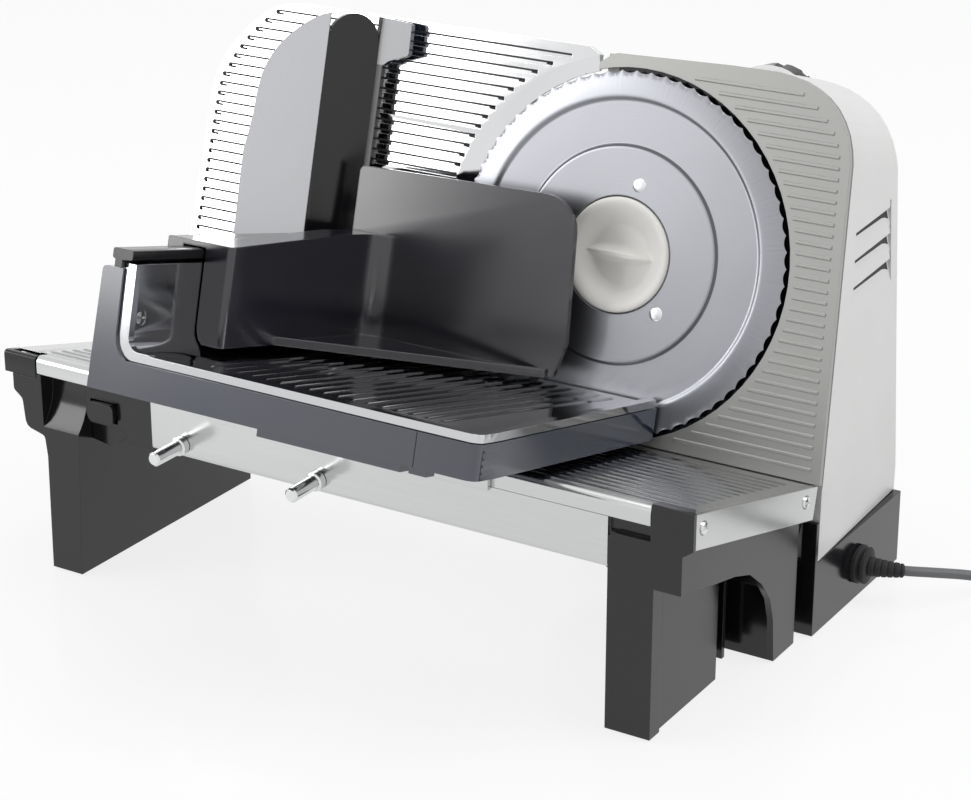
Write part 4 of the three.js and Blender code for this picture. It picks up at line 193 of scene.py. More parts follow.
def noise(tree, vector, size_mm, detail=3.0, rough=0.5):
    """Noise whose features are about size_mm across."""
    return add(
        tree,
        "ShaderNodeTexNoise",
        {"Vector": vector, "Scale": 1 / (size_mm * MM), "Detail": detail, "Roughness": rough},
    ).outputs["Fac"]


def spread(tree, value, low, high, start=0.3, end=0.7):
    """Spreads a 0 to 1 value over low to high."""
    return add(
        tree,
        "ShaderNodeMapRange",
        {"Value": value, "From Min": start, "From Max": end, "To Min": low, "To Max": high},
    ).outputs["Result"]


def tint(tree, value, first, second):
    """Mixes two colours by a value; each is a hex value or another node's colour."""
    ends = [hex_colour(end) if isinstance(end, str) else end for end in (first, second)]
    return add(
        tree, "ShaderNodeMix", {"Factor": value, "A": ends[0], "B": ends[1]}, data_type="RGBA"
    ).outputs["Result"]


def rubbed_edge(tree, radius_mm):
    """1 along the corners that hands and cloths rub, 0 on the open faces."""
    rounded = add(tree, "ShaderNodeBevel", {"Radius": radius_mm * MM}, samples=4)
    face = add(tree, "ShaderNodeNewGeometry")
    match = add(
        tree,
        "ShaderNodeVectorMath",
        {0: rounded.outputs["Normal"], 1: face.outputs["Normal"]},
        operation="DOT_PRODUCT",
    )
    return spread(tree, match.outputs["Value"], 1.0, 0.0, 0.72, 0.98)


def worked_out(tree, operation, *values):
    """The result of one operation on numbers or on other nodes' outputs."""
    inputs = dict(enumerate(values))
    return add(tree, "ShaderNodeMath", inputs, operation=operation).outputs["Value"]


def relief(tree, height, depth_mm, edge_mm=0.0, strength=1.0):
    """Normal from a height field, over edges that look rounded by edge_mm."""
    inputs = {"Height": height, "Distance": depth_mm * MM, "Strength": strength}
    if edge_mm:
        edge = add(tree, "ShaderNodeBevel", {"Radius": edge_mm * MM}, samples=4)
        inputs["Normal"] = edge.outputs["Normal"]
    return add(tree, "ShaderNodeBump", inputs).outputs["Normal"]


def colours():
    """The colours in the panel."""
    return bpy.context.scene.slicer_colours


def sizes():
    """The sizes and the lamp power in the panel."""
    return bpy.context.scene.slicer_sizes


# Materials


def moulded_plastic(name, base, shade, worn, roughness, edge_mm=0.4, coat=0.0):
    """Injection moulded plastic: an even colour, a faint spark-eroded grain and soft mould edges."""
    material, tree, shader = new_material(name)
    space = object_space(tree)
    cloud = noise(tree, space, 60, 2)
    # Mould grain is near 0.1 mm; drawn at 0.5 mm so that it still shows at this distance
    grain = noise(tree, space, 0.5, 2, 0.6)
    patchy = spread(tree, noise(tree, space, 9, 4, 0.65), 0.15, 0.8)
    rub = worked_out(tree, "MULTIPLY", rubbed_edge(tree, edge_mm * 1.6), patchy)
    mould = spread(tree, cloud, roughness * 0.85, roughness * 1.15)
    inputs = {
        "Base Color": tint(tree, rub, tint(tree, cloud, base, shade), worn),
        "Roughness": worked_out(tree, "ADD", mould, worked_out(tree, "MULTIPLY", rub, 0.12)),
        "Normal": relief(tree, grain, 0.012, edge_mm, 0.4),
        # A polished mould packs the skin denser, which mirrors a little more
        "IOR": 1.5 if coat < 0.9 else 1.56,
        "Coat Weight": coat,
        "Coat IOR": 1.56,
        "Coat Roughness": 0.12,
    }
    feed(tree, shader, inputs)
    return material


def smoked_san(name, base, shade):
    """Smoke-tinted SAN, near black where it is this thick, under a glossy skin."""
    material, tree, shader = new_material(name)
    space = object_space(tree)
    cloud = noise(tree, space, 45, 2)
    flow = noise(tree, space, 22, 1)
    inputs = {
        "Base Color": tint(tree, cloud, base, shade),
        "Roughness": spread(tree, cloud, 0.14, 0.2),
        "Normal": relief(tree, flow, 0.02, 1.1, 0.2),
        "IOR": 1.57,
        "Coat Weight": 0.5,
        "Coat IOR": 1.57,
        "Coat Roughness": 0.14,
    }
    feed(tree, shader, inputs)
    return material


def brushed_sheet(name, base, shade, roughness, along="X"):
    """Brushed stainless sheet: fine scratches along one axis blur what it mirrors across them."""
    material, tree, shader = new_material(name)
    # Scratches are under 0.05 mm wide; drawn 0.3 mm wide and 40 mm long so that they show
    stretch = {"X": (0.008, 1, 1), "Y": (1, 0.008, 1)}[along]
    scratches = noise(tree, object_space(tree, stretch), 0.3, 4, 0.7)
    smear = noise(tree, object_space(tree), 50, 3)
    fine = spread(tree, scratches, roughness * 0.8, roughness * 1.3)
    wide = spread(tree, smear, -0.02, 0.03)
    inputs = {
        "Base Color": tint(tree, scratches, base, shade),
        "Roughness": worked_out(tree, "ADD", fine, wide),
        "Normal": relief(tree, scratches, 0.006, 0.25, 0.5),
        "Metallic": 1.0,
    }
    feed(tree, shader, inputs)
    return material


def mirror_steel(name, base, roughness, edge_mm=0.2):
    """Mirror-polished steel: a sharp reflection with faint wipe marks."""
    material, tree, shader = new_material(name)
    wipe = noise(tree, object_space(tree, (0.25, 1, 1), (0, 0.3, 0.2)), 9, 4, 0.65)
    inputs = {
        "Base Color": hex_colour(base),
        "Roughness": spread(tree, wipe, roughness * 0.7, roughness * 1.5),
        "Normal": relief(tree, wipe, 0.01, edge_mm, 0.25),
        "Metallic": 1.0,
    }
    feed(tree, shader, inputs)
    return material


def ground_blade_steel(name, base, shade, step_shade_colour):
    """Hardened stainless, ringed by its turning and ground across near its edge, with painted shade at
    the foot of its hub step.
    """
    material, tree, shader = new_material(name)
    place = add(tree, "ShaderNodeTexCoord")
    parts = add(tree, "ShaderNodeSeparateXYZ", {"Vector": place.outputs["Object"]})
    x, z = parts.outputs["X"], parts.outputs["Z"]
    flat = add(tree, "ShaderNodeCombineXYZ", {"X": x, "Y": z, "Z": 0.0})
    radius = add(
        tree, "ShaderNodeVectorMath", {0: flat.outputs["Vector"]}, operation="LENGTH"
    ).outputs["Value"]
    angle = worked_out(tree, "ARCTAN2", z, x)
    # Turning marks are near 0.05 mm apart; drawn 0.5 mm apart so that they show
    marks = add(
        tree,
        "ShaderNodeTexNoise",
        {"W": radius, "Scale": 1 / (0.5 * MM), "Detail": 3.0, "Roughness": 0.7},
        noise_dimensions="1D",
    ).outputs["Fac"]
    # Grinding marks across the bevel, one each 1.2 mm of its edge
    across = add(
        tree,
        "ShaderNodeTexNoise",
        {"W": angle, "Scale": 85 / 1.2, "Detail": 3.0, "Roughness": 0.65},
        noise_dimensions="1D",
    ).outputs["Fac"]
    on_bevel = spread(tree, radius, 0.0, 1.0, 75 * MM, 77.5 * MM)
    grain = add(
        tree, "ShaderNodeMix", {"Factor": on_bevel, "A": marks, "B": across}, data_type="FLOAT"
    ).outputs["Result"]
    smear = noise(tree, place.outputs["Object"], 30, 3)
    # Painted shade: a darker ring at the foot of the step round the hub
    foot = (HUB_RADIUS + 1.3) * MM
    step = worked_out(tree, "COMPARE", radius, foot, 0.7 * MM)
    steel = tint(tree, grain, base, shade)
    tangent = add(tree, "ShaderNodeTangent", direction_type="RADIAL", axis="Y")
    inputs = {
        "Base Color": tint(tree, worked_out(tree, "MULTIPLY", step, 0.75), steel, step_shade_colour),
        "Roughness": spread(tree, smear, 0.32, 0.38),
        "Normal": relief(tree, grain, 0.008, 0.0, 0.5),
        "Tangent": tangent.outputs["Tangent"],
        "Anisotropic": 0.2,
        "Metallic": 1.0,
    }
    feed(tree, shader, inputs)
    return material


def satin_coated_aluminium(name, base, shade):
    """Pressed aluminium with a satin clear lacquer: soft grey with a wide dull sheen."""
    material, tree, shader = new_material(name)
    fine = noise(tree, object_space(tree, (0.05, 1, 1)), 0.4, 3, 0.6)
    cloud = noise(tree, object_space(tree), 70, 2)
    inputs = {
        "Base Color": tint(tree, cloud, base, shade),
        "Roughness": spread(tree, fine, 0.36, 0.46),
        "Normal": relief(tree, fine, 0.005, 0.3, 0.5),
        "Metallic": 0.55,
    }
    feed(tree, shader, inputs)
    return material


def cast_metal(name, base, shade, roughness, size_mm):
    """Cast or sintered metal: dull, with a sandy skin."""
    material, tree, shader = new_material(name)
    sand = noise(tree, object_space(tree), size_mm, 4, 0.6)
    inputs = {
        "Base Color": tint(tree, sand, base, shade),
        "Roughness": spread(tree, sand, roughness * 0.8, roughness * 1.2),
        "Normal": relief(tree, sand, 0.05, 0.3, 0.7),
        "Metallic": 1.0,
    }
    feed(tree, shader, inputs)
    return material


def soft_polymer(name, base, shade, roughness, size_mm=0.6):
    """Rubber, PVC, nylon and the flat dark of painted shade: matt and even, with a very light skin."""
    material, tree, shader = new_material(name)
    skin = noise(tree, object_space(tree), size_mm, 3, 0.6)
    cloud = noise(tree, object_space(tree), 25, 2)
    inputs = {
        "Base Color": tint(tree, cloud, base, shade),
        "Roughness": spread(tree, cloud, roughness * 0.9, roughness * 1.1),
        "Normal": relief(tree, skin, 0.02, 0.2, 0.4),
        "IOR": 1.5,
    }
    feed(tree, shader, inputs)
    return material


FINISHES = {}


def make_finishes():
    """Every finish of the machine, made once."""
    panel = colours()

    def code(value):
        return "#" + "".join(f"{round(255 * channel):02x}" for channel in value[:3])

    black = code(panel.black_abs)
    FINISHES.update(
        # Light grey ABS of the housing, satin from its mould
        housing=moulded_plastic(
            "Housing ABS, satin", code(panel.housing_abs), "#CCCCCB", "#DCDCDA", 0.32
        ),
        # Black ABS of feet and lower shell, glossy from a polished mould
        black=moulded_plastic("Black ABS, gloss", black, "#17171A", "#2E2E34", 0.16),
        # Anthracite ABS of carriage and guard: blue-grey, near mirror gloss
        charcoal=moulded_plastic(
            "Anthracite ABS, high gloss", code(panel.charcoal_abs), "#2A2F38", "#4A505C", 0.17, coat=1
        ),
        # Cream polypropylene of the lock knob and the dial's scale
        cream=moulded_plastic(
            "Cream polypropylene", code(panel.knob_cream), "#ECEAE5", "#F6F5F1", 0.42, 0.5
        ),
        # Smoke tinted SAN of the food holder
        smoke=smoked_san("Smoked SAN, gloss", "#16151C", "#1F1D26"),
        # Sheet of base and apron
        sheet=brushed_sheet("Brushed stainless sheet", "#D0D1D1", "#C4C5C5", 0.16),
        # Tray of the carriage, bright enough to mirror the holder
        tray=brushed_sheet("Polished stainless tray", "#CFD0D2", "#C6C7C9", 0.07, "Y"),
        # Stop plate
        mirror=mirror_steel("Mirror polished stainless", "#DCDDDE", 0.07, 0.3),
        # Painted shade: a dark matt strip along each groove of the stop plate, where the groove lies
        # in shade
        paste=soft_polymer("Dry polishing paste", "#121214", "#1D1D20", 0.6, 0.3),
        # Painted shade: dark matt strips in the louvres' slits, where the slits lie in shade
        screen=soft_polymer("Painted louvre shade", "#121214", "#1D1D20", 0.6, 0.3),
        # Pins, screws
        chrome=mirror_steel("Bright nickel plated steel", "#D9DADA", 0.1),
        # Rivet heads of the blade, tumbled smooth
        rivet=mirror_steel("Tumbled steel rivet", "#E4E4E6", 0.3),
        # Blade, and the painted shade at the foot of its step
        blade=ground_blade_steel("Ground blade steel", "#A0A1A6", "#939499", "#3E3F43"),
        # Cover plate round the blade
        cover=satin_coated_aluminium("Satin lacquered aluminium", code(panel.cover_grey), "#A3A3A1"),
        # Stop carrier and pinion
        cast=cast_metal("Die-cast aluminium", "#A9AAAC", "#9C9D9F", 0.45, 1.2),
        bronze=cast_metal("Sintered bronze", "#B08D57", "#A07F4C", 0.4, 0.5),
        motor=cast_metal("Zinc plated motor can", "#7C7E80", "#707274", 0.4, 2.0),
        nylon=soft_polymer("Natural nylon", "#DEDCD2", "#D2D0C4", 0.5),
        rubber=soft_polymer("Black rubber", "#19191B", "#212124", 0.8),
        cord=soft_polymer("Grey PVC cord sheath", code(panel.cord_grey), "#5E5F62", 0.5),
    )


def new_object(name, data):
    """An object of the scene that shows the given mesh, curve, lamp or camera."""
    made = bpy.data.objects.new(name, data)
    bpy.context.scene.collection.objects.link(made)
    return made


def soften(thing, finish, angle):
    """Gives a triangle mesh its finish, and smooth shading between faces that meet gently."""
    mesh = thing.data
    mesh.materials.clear()
    mesh.materials.append(FINISHES[finish])
    if "custom_normal" in mesh.attributes:
        mesh.attributes.remove(mesh.attributes["custom_normal"])
    mesh.polygons.foreach_set("use_smooth", [True] * len(mesh.polygons))
    for edge in mesh.edges:
        edge.use_edge_sharp = False
    weld = thing.modifiers.new("weld", "WELD")
    weld.merge_threshold = 2e-6
    split = thing.modifiers.new("edges", "EDGE_SPLIT")
    split.split_angle = math.radians(angle)


def dress(names, finish, angle=32):
    """Gives solid-model nodes their finish."""
    for name in names:
        soften(frame["nodes"][name], finish, angle)


def recast(name, node, finish, body, change=None, angle=40):
    """A finer copy of a solid-model node; change moves points, in the leaning frame's millimetres."""
    mesh = frame["nodes"][node].data.copy()
    mesh.name = name
    back = LEANING.inverted()
    if change:
        for vertex in mesh.vertices:
            vertex.co = LEANING @ Vector(change(*(back @ vertex.co)))
    piece = new_object(name, mesh)
    soften(piece, finish, angle)
    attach(piece, body)
    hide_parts(node)
    return piece


def new_piece(name, vertices, faces, matrix, finish, body, replaces=(), angle=40):
    """A mesh piece drawn in millimetres in its own frame, placed by a matrix."""
    mesh = bpy.data.meshes.new(name)
    mesh.from_pydata([[c * MM for c in v] for v in vertices], [], faces)
    mesh.validate()
    work = bmesh.new()
    work.from_mesh(mesh)
    bmesh.ops.recalc_face_normals(work, faces=work.faces)
    work.to_mesh(mesh)
    work.free()
    mesh.polygons.foreach_set("use_smooth", [True] * len(mesh.polygons))
    mesh.set_sharp_from_angle(angle=math.radians(angle))
    mesh.materials.append(FINISHES[finish])
    piece = new_object(name, mesh)
    place, turn, _ = matrix.decompose()
    piece.location = place
    piece.rotation_mode = "QUATERNION"
    piece.rotation_quaternion = turn
    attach(piece, body)
    if replaces:
        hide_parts(*replaces)
    return piece


def join_rings(faces, first, second, count):
    """Adds the quads between two rings of count vertices."""
    for i in range(count):
        j = (i + 1) % count
        faces.append((first + i, first + j, second + j, second + i))


def rings(profile, count, radius_at=None):
    """Vertices and quads of a closed (radius, y) profile turned about the y axis.

    radius_at may change a radius with the angle.
    """
    vertices = []
    faces = []
    for r, y in profile:
        for i in range(count):
            a = 2 * math.pi * i / count
            at = radius_at(a, r) if radius_at else r
            vertices.append((at * math.cos(a), y, at * math.sin(a)))
    for k in range(len(profile)):
        join_rings(faces, k * count, (k + 1) % len(profile) * count, count)
    return vertices, faces


def add_bar(vertices, faces, sections):
    """Adds a closed bar through sections of four corners each."""
    first = len(vertices)
    for section in sections:
        vertices.extend(section)
    last = first + 4 * (len(sections) - 1)
    for a in range(first, last, 4):
        faces.extend([(a, a + 4, a + 6, a + 2), (a + 1, a + 3, a + 7, a + 5)])
        faces.extend([(a, a + 1, a + 5, a + 4), (a + 2, a + 6, a + 7, a + 3)])
    faces.append((first, first + 2, first + 3, first + 1))
    faces.append((last, last + 1, last + 3, last + 2))


def smooth_step(x):
    """0 below 0, 1 above 1, and an even bend between."""
    x = min(1.0, max(0.0, x))
    return x * x * (3 - 2 * x)


# Mains cord: its route repeats the solid model's, from the grommet to the plug

CORD_RADIUS = 2.5
# The coil lies a little forward of the solid one, whose cord is flat-sided and so a little thinner
COIL_SHIFT = 0.36
COIL_CENTRE = (236.0, 118.0 - COIL_SHIFT)
COIL_LOOPS = 10
COIL_LAYERS = 4
COIL_PITCH = 5.7
COIL_INNER = 18.0
COIL_FLOOR = 1.2
# A coil's cord leads in and out along a straight of this length
COIL_LEAD = 5.3
CORD_EXIT = (117.4, 28.8, 18.5)
PLUG_REACH = 74.0
PLUG_HEIGHT = 6.7


def coil_point(turn):
    """Centre of the cord after so many turns of the coil."""
    per_layer = COIL_LOOPS / COIL_LAYERS
    layer = min(COIL_LAYERS - 1, math.floor(turn / per_layer))
    along = turn - layer * per_layer
    outer = COIL_INNER + COIL_PITCH * per_layer
    r = outer - COIL_PITCH * along if layer % 2 == 0 else COIL_INNER + COIL_PITCH * along
    height = layer
    to_next = per_layer - along
    if to_next < 0.25 and layer < COIL_LAYERS - 1:
        height = layer + 0.5 - 2 * to_next
    if along < 0.25 and layer > 0:
        height = layer - 0.5 + 2 * along
    angle = -math.pi / 2 + 2 * math.pi * turn
    return Vector(
        (
            COIL_CENTRE[0] + r * math.cos(angle),
            COIL_CENTRE[1] + r * math.sin(angle),
            COIL_FLOOR + CORD_RADIUS + height * COIL_PITCH,
        )
    )


def through(points, step=3.0):
    """Even points along a centripetal curve through the given ones."""
    found = []
    count = len(points)
    for i in range(count - 1):
        p1, p2 = points[i], points[i + 1]
        p0 = points[i - 1] if i else p1 * 2 - p2
        p3 = points[i + 2] if i + 2 < count else p2 * 2 - p1
        t1 = max((p1 - p0).length, 1e-6) ** 0.5
        t2 = t1 + max((p2 - p1).length, 1e-6) ** 0.5
        t3 = t2 + max((p3 - p2).length, 1e-6) ** 0.5
        parts = max(1, round((p2 - p1).length / step))
        for k in range(parts):
            t = t1 + (t2 - t1) * k / parts
            a1 = p0 * ((t1 - t) / t1) + p1 * (t / t1)
            a2 = p1 * ((t2 - t) / (t2 - t1)) + p2 * ((t - t1) / (t2 - t1))
            a3 = p2 * ((t3 - t) / (t3 - t2)) + p3 * ((t - t2) / (t3 - t2))
            b1 = a1 * ((t2 - t) / t2) + a2 * (t / t2)
            b2 = a2 * ((t3 - t) / (t3 - t1)) + a3 * ((t - t1) / (t3 - t1))
            found.append(b1 * ((t2 - t) / (t2 - t1)) + b2 * ((t - t1) / (t2 - t1)))
    found.append(points[-1])
    return found


def cord_route():
    """The whole centreline in millimetres: lead, coil and tail."""
    first = coil_point(0) - Vector((COIL_LEAD, 0, 0))
    last = coil_point(COIL_LOOPS) + Vector((COIL_LEAD, 0, 0))
    x, y, z = CORD_EXIT
    # Out of the housing, down to the table and along it to the coil
    lead = [
        Vector((x - 4, y, z)),
        Vector((x + 8, y, z)),
        Vector((138, 32.6, 18.2)),
        Vector((150, 44.6, 15.2)),
        Vector((161, 60, 10.4)),
        Vector((176, 74.5, 5.2)),
        Vector((198, 79.4, CORD_RADIUS + 0.6)),
        Vector((first.x - 12, first.y, first.z - 0.3)),
        first,
    ]
    # Off the top of the coil and down to the plug, which stays where the solid one is
    plug_x, plug_y = last.x + PLUG_REACH, last.y - 6 + COIL_SHIFT
    tail = [
        last,
        last + Vector((10, 0, -0.6)),
        Vector((last.x + 26, last.y - 1, 14)),
        Vector((last.x + 46, last.y - 4, 7.6)),
        Vector((plug_x - 8, plug_y, PLUG_HEIGHT)),
        Vector((plug_x - 0.3, plug_y, PLUG_HEIGHT)),
    ]
    steps = COIL_LOOPS * 48
    coil = [coil_point(COIL_LOOPS * i / steps) for i in range(steps + 1)]
    return through(lead) + coil + through(tail)


# Sizes and colours


def panel_colour(name, description, default):
    """A colour of the panel."""
    return FloatVectorProperty(
        name=name,
        description=description,
        subtype="COLOR_GAMMA",
        size=3,
        min=0,
        max=1,
        default=default,
    )


class SlicerColours(bpy.types.PropertyGroup):
    """Colours of the machine's mouldings and sheets."""

    housing_abs: panel_colour("Housing", "Light grey of the housing", (0.84, 0.84, 0.838))
    black_abs: panel_colour("Feet", "Black of the feet and the lower shell", (0.07, 0.07, 0.078))
    charcoal_abs: panel_colour(
        "Carriage", "Anthracite of the carriage and the thumb guard", (0.13, 0.16, 0.25)
    )
    knob_cream: panel_colour("Lock knob", "Cream of the blade's lock knob", (0.95, 0.947, 0.93))
    cover_grey: panel_colour("Cover plate", "Grey of the ribbed cover plate", (0.63, 0.63, 0.62))
    cord_grey: panel_colour("Cord", "Grey of the mains cord", (0.4, 0.4, 0.41))


class SlicerSizes(bpy.types.PropertyGroup):
    """Sizes of the fine pieces."""

    cord_diameter: FloatProperty(
        name="Cord diameter",
        description="Outer diameter of the mains cord",
        subtype="DISTANCE",
        unit="LENGTH",
        default=2 * CORD_RADIUS * MM,
        min=0.003,
        max=0.008,
    )
    blade_waves: IntProperty(
        name="Blade waves",
        description="Ground waves round the blade's edge",
        default=70,
        min=24,
        max=120,
    )
    wave_depth: FloatProperty(
        name="Wave depth",
        description="How far the waves cut in from the edge",
        subtype="DISTANCE",
        unit="LENGTH",
        default=0.0013,
        min=0.0,
        max=0.003,
    )
    finger_bar: FloatProperty(
        name="Finger bar",
        description="Width of the bar across the lock knob",
        subtype="DISTANCE",
        unit="LENGTH",
        default=0.0042,
        min=0.002,
        max=0.01,
    )
    lamp_power: FloatProperty(
        name="Lamp power",
        description="Power of the large soft lamp",
        subtype="POWER",
        unit="POWER",
        default=14.0,
        min=0.0,
    )


# Operators


class SLICER_OT_camera(bpy.types.Operator):
    """Puts the camera at the photograph's viewing angle"""

    bl_idname = "slicer.camera"
    bl_label = "Camera"

    def execute(self, context):
        camera = bpy.data.cameras.new("camera")
        camera.sensor_fit = "HORIZONTAL"
        camera.sensor_width = 36.0
        camera.lens = CAMERA_LENS
        camera.clip_end = 50
        holder = new_object("camera", camera)
        holder.location = (CAMERA_PLACE + SHIFT) * MM
        holder.rotation_euler = (math.radians(90 - CAMERA_DOWN), 0, math.radians(CAMERA_ROUND))
        context.scene.camera = holder
        return {"FINISHED"}


def strain_relief(route):
    """Tapered strain relief: a ribbed collar on the housing and a ringed sleeve on the cord."""
    inner = CORD_RADIUS + 0.12
    neck, collar, waist = 5.1, 9.5, 7.9
    root, sleeve, tip = -5, 6.2, 22.0
    ring_pitch, ring_depth = 2.9, 0.45
    # Each pair is a distance out of the housing and a radius
    profile = [(root, neck), (0.3, neck), (0.3, collar - 0.3), (0.6, collar), (2.1, collar)]
    profile += [(2.5, collar - 0.4), (3.0, waist), (3.8, waist), (4.3, collar - 0.7)]
    profile += [(4.8, collar - 0.4), (5.6, collar - 0.7), (6.0, collar - 1.4), (6.0, neck)]
    steps = 64
    for i in range(steps + 1):
        out = sleeve + (tip - sleeve) * i / steps
        ring = abs(math.sin(math.pi * (out - sleeve) / ring_pitch))
        groove = ring_depth * (1 - smooth_step(ring * 1.6))
        profile.append((out, 4.9 - 1.5 * i / steps - groove))
    profile += [(tip + 0.3, 3.1), (tip + 0.3, inner), (root, inner)]
    # The route starts inside the housing
    inside = CORD_EXIT[0] - route[0].x

    def place_on(out):
        """The cord's centre and direction so far out of the housing."""
        along = out + inside
        for a, b in zip(route, route[1:]):
            part = (b - a).length
            if along <= part:
                return a.lerp(b, along / part), (b - a).normalized()
            along -= part
        raise RuntimeError("the cord is shorter than its strain relief")

    count = 36
    vertices, faces = [], []
    for out, r in profile:
        middle, ahead = place_on(out)
        side = ahead.cross(Vector((0, 0, 1))).normalized()
        up = side.cross(ahead)
        for k in range(count):
            turn = 2 * math.pi * k / count
            vertices.append(middle + side * (r * math.cos(turn)) + up * (r * math.sin(turn)))
    for k in range(len(profile)):
        join_rings(faces, k * count, (k + 1) % len(profile) * count, count)
    solid = ["cord_grommet"]
    return new_piece(
        "strain_relief", vertices, faces, UPRIGHT, "rubber", "machine", solid, 38
    )


class SLICER_OT_mains_cord(bpy.types.Operator):
    """Makes the mains cord, from its strain relief through the coil to the plug"""

    bl_idname = "slicer.mains_cord"
    bl_label = "Mains cord"

    def execute(self, context):
        route = cord_route()
        curve = bpy.data.curves.new("mains_cord", "CURVE")
        curve.dimensions = "3D"
        curve.bevel_depth = sizes().cord_diameter / 2
        curve.bevel_resolution = 5
        curve.use_fill_caps = True
        line = curve.splines.new("POLY")
        line.points.add(len(route) - 1)
        line.use_smooth = True
        for point, spot in zip(line.points, route):
            point.co = (*((spot + SHIFT) * MM), 1)
        curve.materials.append(FINISHES["cord"])
        piece = new_object("mains_cord", curve)
        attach(piece, "machine")
        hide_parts("power_cord", "cord_coil", "cord_tail")
        nodes = frame["nodes"]
        ([strain_relief(route)]
            + [nodes[n] for n in ("cord_tie", "plug_body", "plug_pin_1", "plug_pin_2")])
        return {"FINISHED"}


class SLICER_OT_cord_fittings(bpy.types.Operator):
    """Finishes the tie, the plug and its pins"""

    bl_idname = "slicer.cord_fittings"
    bl_label = "Cord fittings"

    def execute(self, context):
        dress(["cord_tie"], "rubber")
        dress(["plug_body"], "cord")
        dress(["plug_pin_1", "plug_pin_2"], "chrome")
        return {"FINISHED"}


def louvre_screens():
    """Painted shade: dark strips in the slits of the louvres, each on its recess's sloping floor."""
    vertices, faces = [], []
    for row in range(LOUVRE_ROWS):
        top = LOUVRE_TOP - LOUVRE_PITCH * row
        first = LOUVRE_FRONT - LOUVRE_STEP * row
        # Distance along the slit, and how far down the sloping floor the painted shade reaches
        reach = [(first + 1.2, 2.7), (first + 14, 2.9), (LOUVRE_BACK - 9, 3.4)]
        reach += [(LOUVRE_BACK - 5, 4.2), (LOUVRE_BACK - 1.6, 5.6)]
        sections = []
        for y, down in reach:
            wall = WALL_X - (y - WALL_POINT[0]) * WALL_SLOPES[0]
            wall -= (top - WALL_POINT[1]) * WALL_SLOPES[1]
            sections.append(
                [
                    (wall - LOUVRE_DEPTH + LOUVRE_SLOPE * drop + lift, y, top - drop)
                    for drop in (0.3, down)
                    for lift in (0.03, 0.16)
                ]
            )
        add_bar(vertices, faces, sections)
    new_piece(
        "louvre_screens", vertices, faces, UPRIGHT, "screen", "machine", angle=30
    )


class SLICER_OT_housing(bpy.types.Operator):
    """Finishes the housing, its lower shell, the cover plate and the dial, and paints shade in the
    louvres
    """

    bl_idname = "slicer.housing"
    bl_label = "Housing"

    def execute(self, context):
        dress(["housing_shell"], "housing", 25)
        # The blade ring's black is painted shade of the dark gap round the blade
        dress(["lower_shell", "blade_ring"], "black")
        dress(["cover_plate"], "cover")
        dress(["thickness_dial"], "black")
        louvre_screens()
        return {"FINISHED"}


def raised_bars(name, marks, body, finish):
    """Rounded bars that point away from the dial's centre.

    A mark is its angle, its inner and outer radius, half its width, and the y of foot and top.
    """
    vertices, faces = [], []
    for angle, low, high, half, foot, top in marks:
        cosine, sine = math.cos(angle), math.sin(angle)
        outline = [(low, -1), (high, -1), (high + half * 0.6, 0), (high, 1), (low, 1)]
        corners = len(outline)
        first = len(vertices)
        # The outline at its foot, below its rounded edge, and a smaller one on top
        for y, inset in ((foot, 0.0), (top - 0.12, 0.0), (top, 0.14)):
            for u, v in outline:
                r = u + inset if u == low else u - inset
                t = v * (half - inset)
                x, z = r * cosine - t * sine, r * sine + t * cosine
                vertices.append((DIAL_X + x, y, DIAL_Z + z))
        faces.append([first + k for k in range(corners)])
        faces.append([first + 2 * corners + k for k in range(corners)])
        join_rings(faces, first, first + corners, corners)
        join_rings(faces, first + corners, first + 2 * corners, corners)
    new_piece(name, vertices, faces, UPRIGHT, finish, body, angle=30)


class SLICER_OT_dial_marks(bpy.types.Operator):
    """Makes the raised scale on the thickness dial and the pointer beside the dial"""

    bl_idname = "slicer.dial_marks"
    bl_label = "Dial marks"

    def execute(self, context):
        scale = []
        for i in range(DIAL_MARKS):
            angle = math.radians(-45) + DIAL_SWEEP * i / (DIAL_MARKS - 1)
            # Each fifth mark is longer and wider
            inner, half = (16.6, 0.5) if i % 5 == 0 else (18.2, 0.35)
            scale.append((angle, inner, 20.4, half, DIAL_FACE, DIAL_FACE + 0.6))
        pointer = [(math.pi, 26.6, 30.4, 0.9, DIAL_SEAT - 0.2, DIAL_SEAT + 0.5)]
        raised_bars("dial_scale", scale, "dial", "cream")
        raised_bars("dial_pointer", pointer, "machine", "black")
        return {"FINISHED"}


class SLICER_OT_base(bpy.types.Operator):
    """Finishes the folded base, its strip and pins, the feet and the switch"""

    bl_idname = "slicer.base"
    bl_label = "Base and feet"

    def execute(self, context):
        dress(["end_strip", "front_apron"], "sheet")

        left, right, run_out = -239, 98, 1.6

        def low_ribs(x, y, z):
            """Pressed ribs are lower than the solid's, and run out at their ends."""
            if abs(z - DECK - DECK_RIB_SOLID) > RIB_MATCH:
                return x, y, z
            inward = run_out if x < left else -run_out if x > right else 0
            return x + inward, y, DECK + DECK_RIB

        recast("base_deck", "base_plate", "sheet", "machine", low_ribs, 50)
        dress(["front_pin_left", "front_pin_right", "strip_screw_front", "strip_screw_rear"], "chrome")
        dress(["right_foot", "left_foot", "base_end_cap", "switch_block", "start_button"], "black")
        pads = [f"foot_pad_{end}_{side}" for end in ("front", "rear") for side in ("right", "left")]
        dress(pads, "rubber")
        return {"FINISHED"}


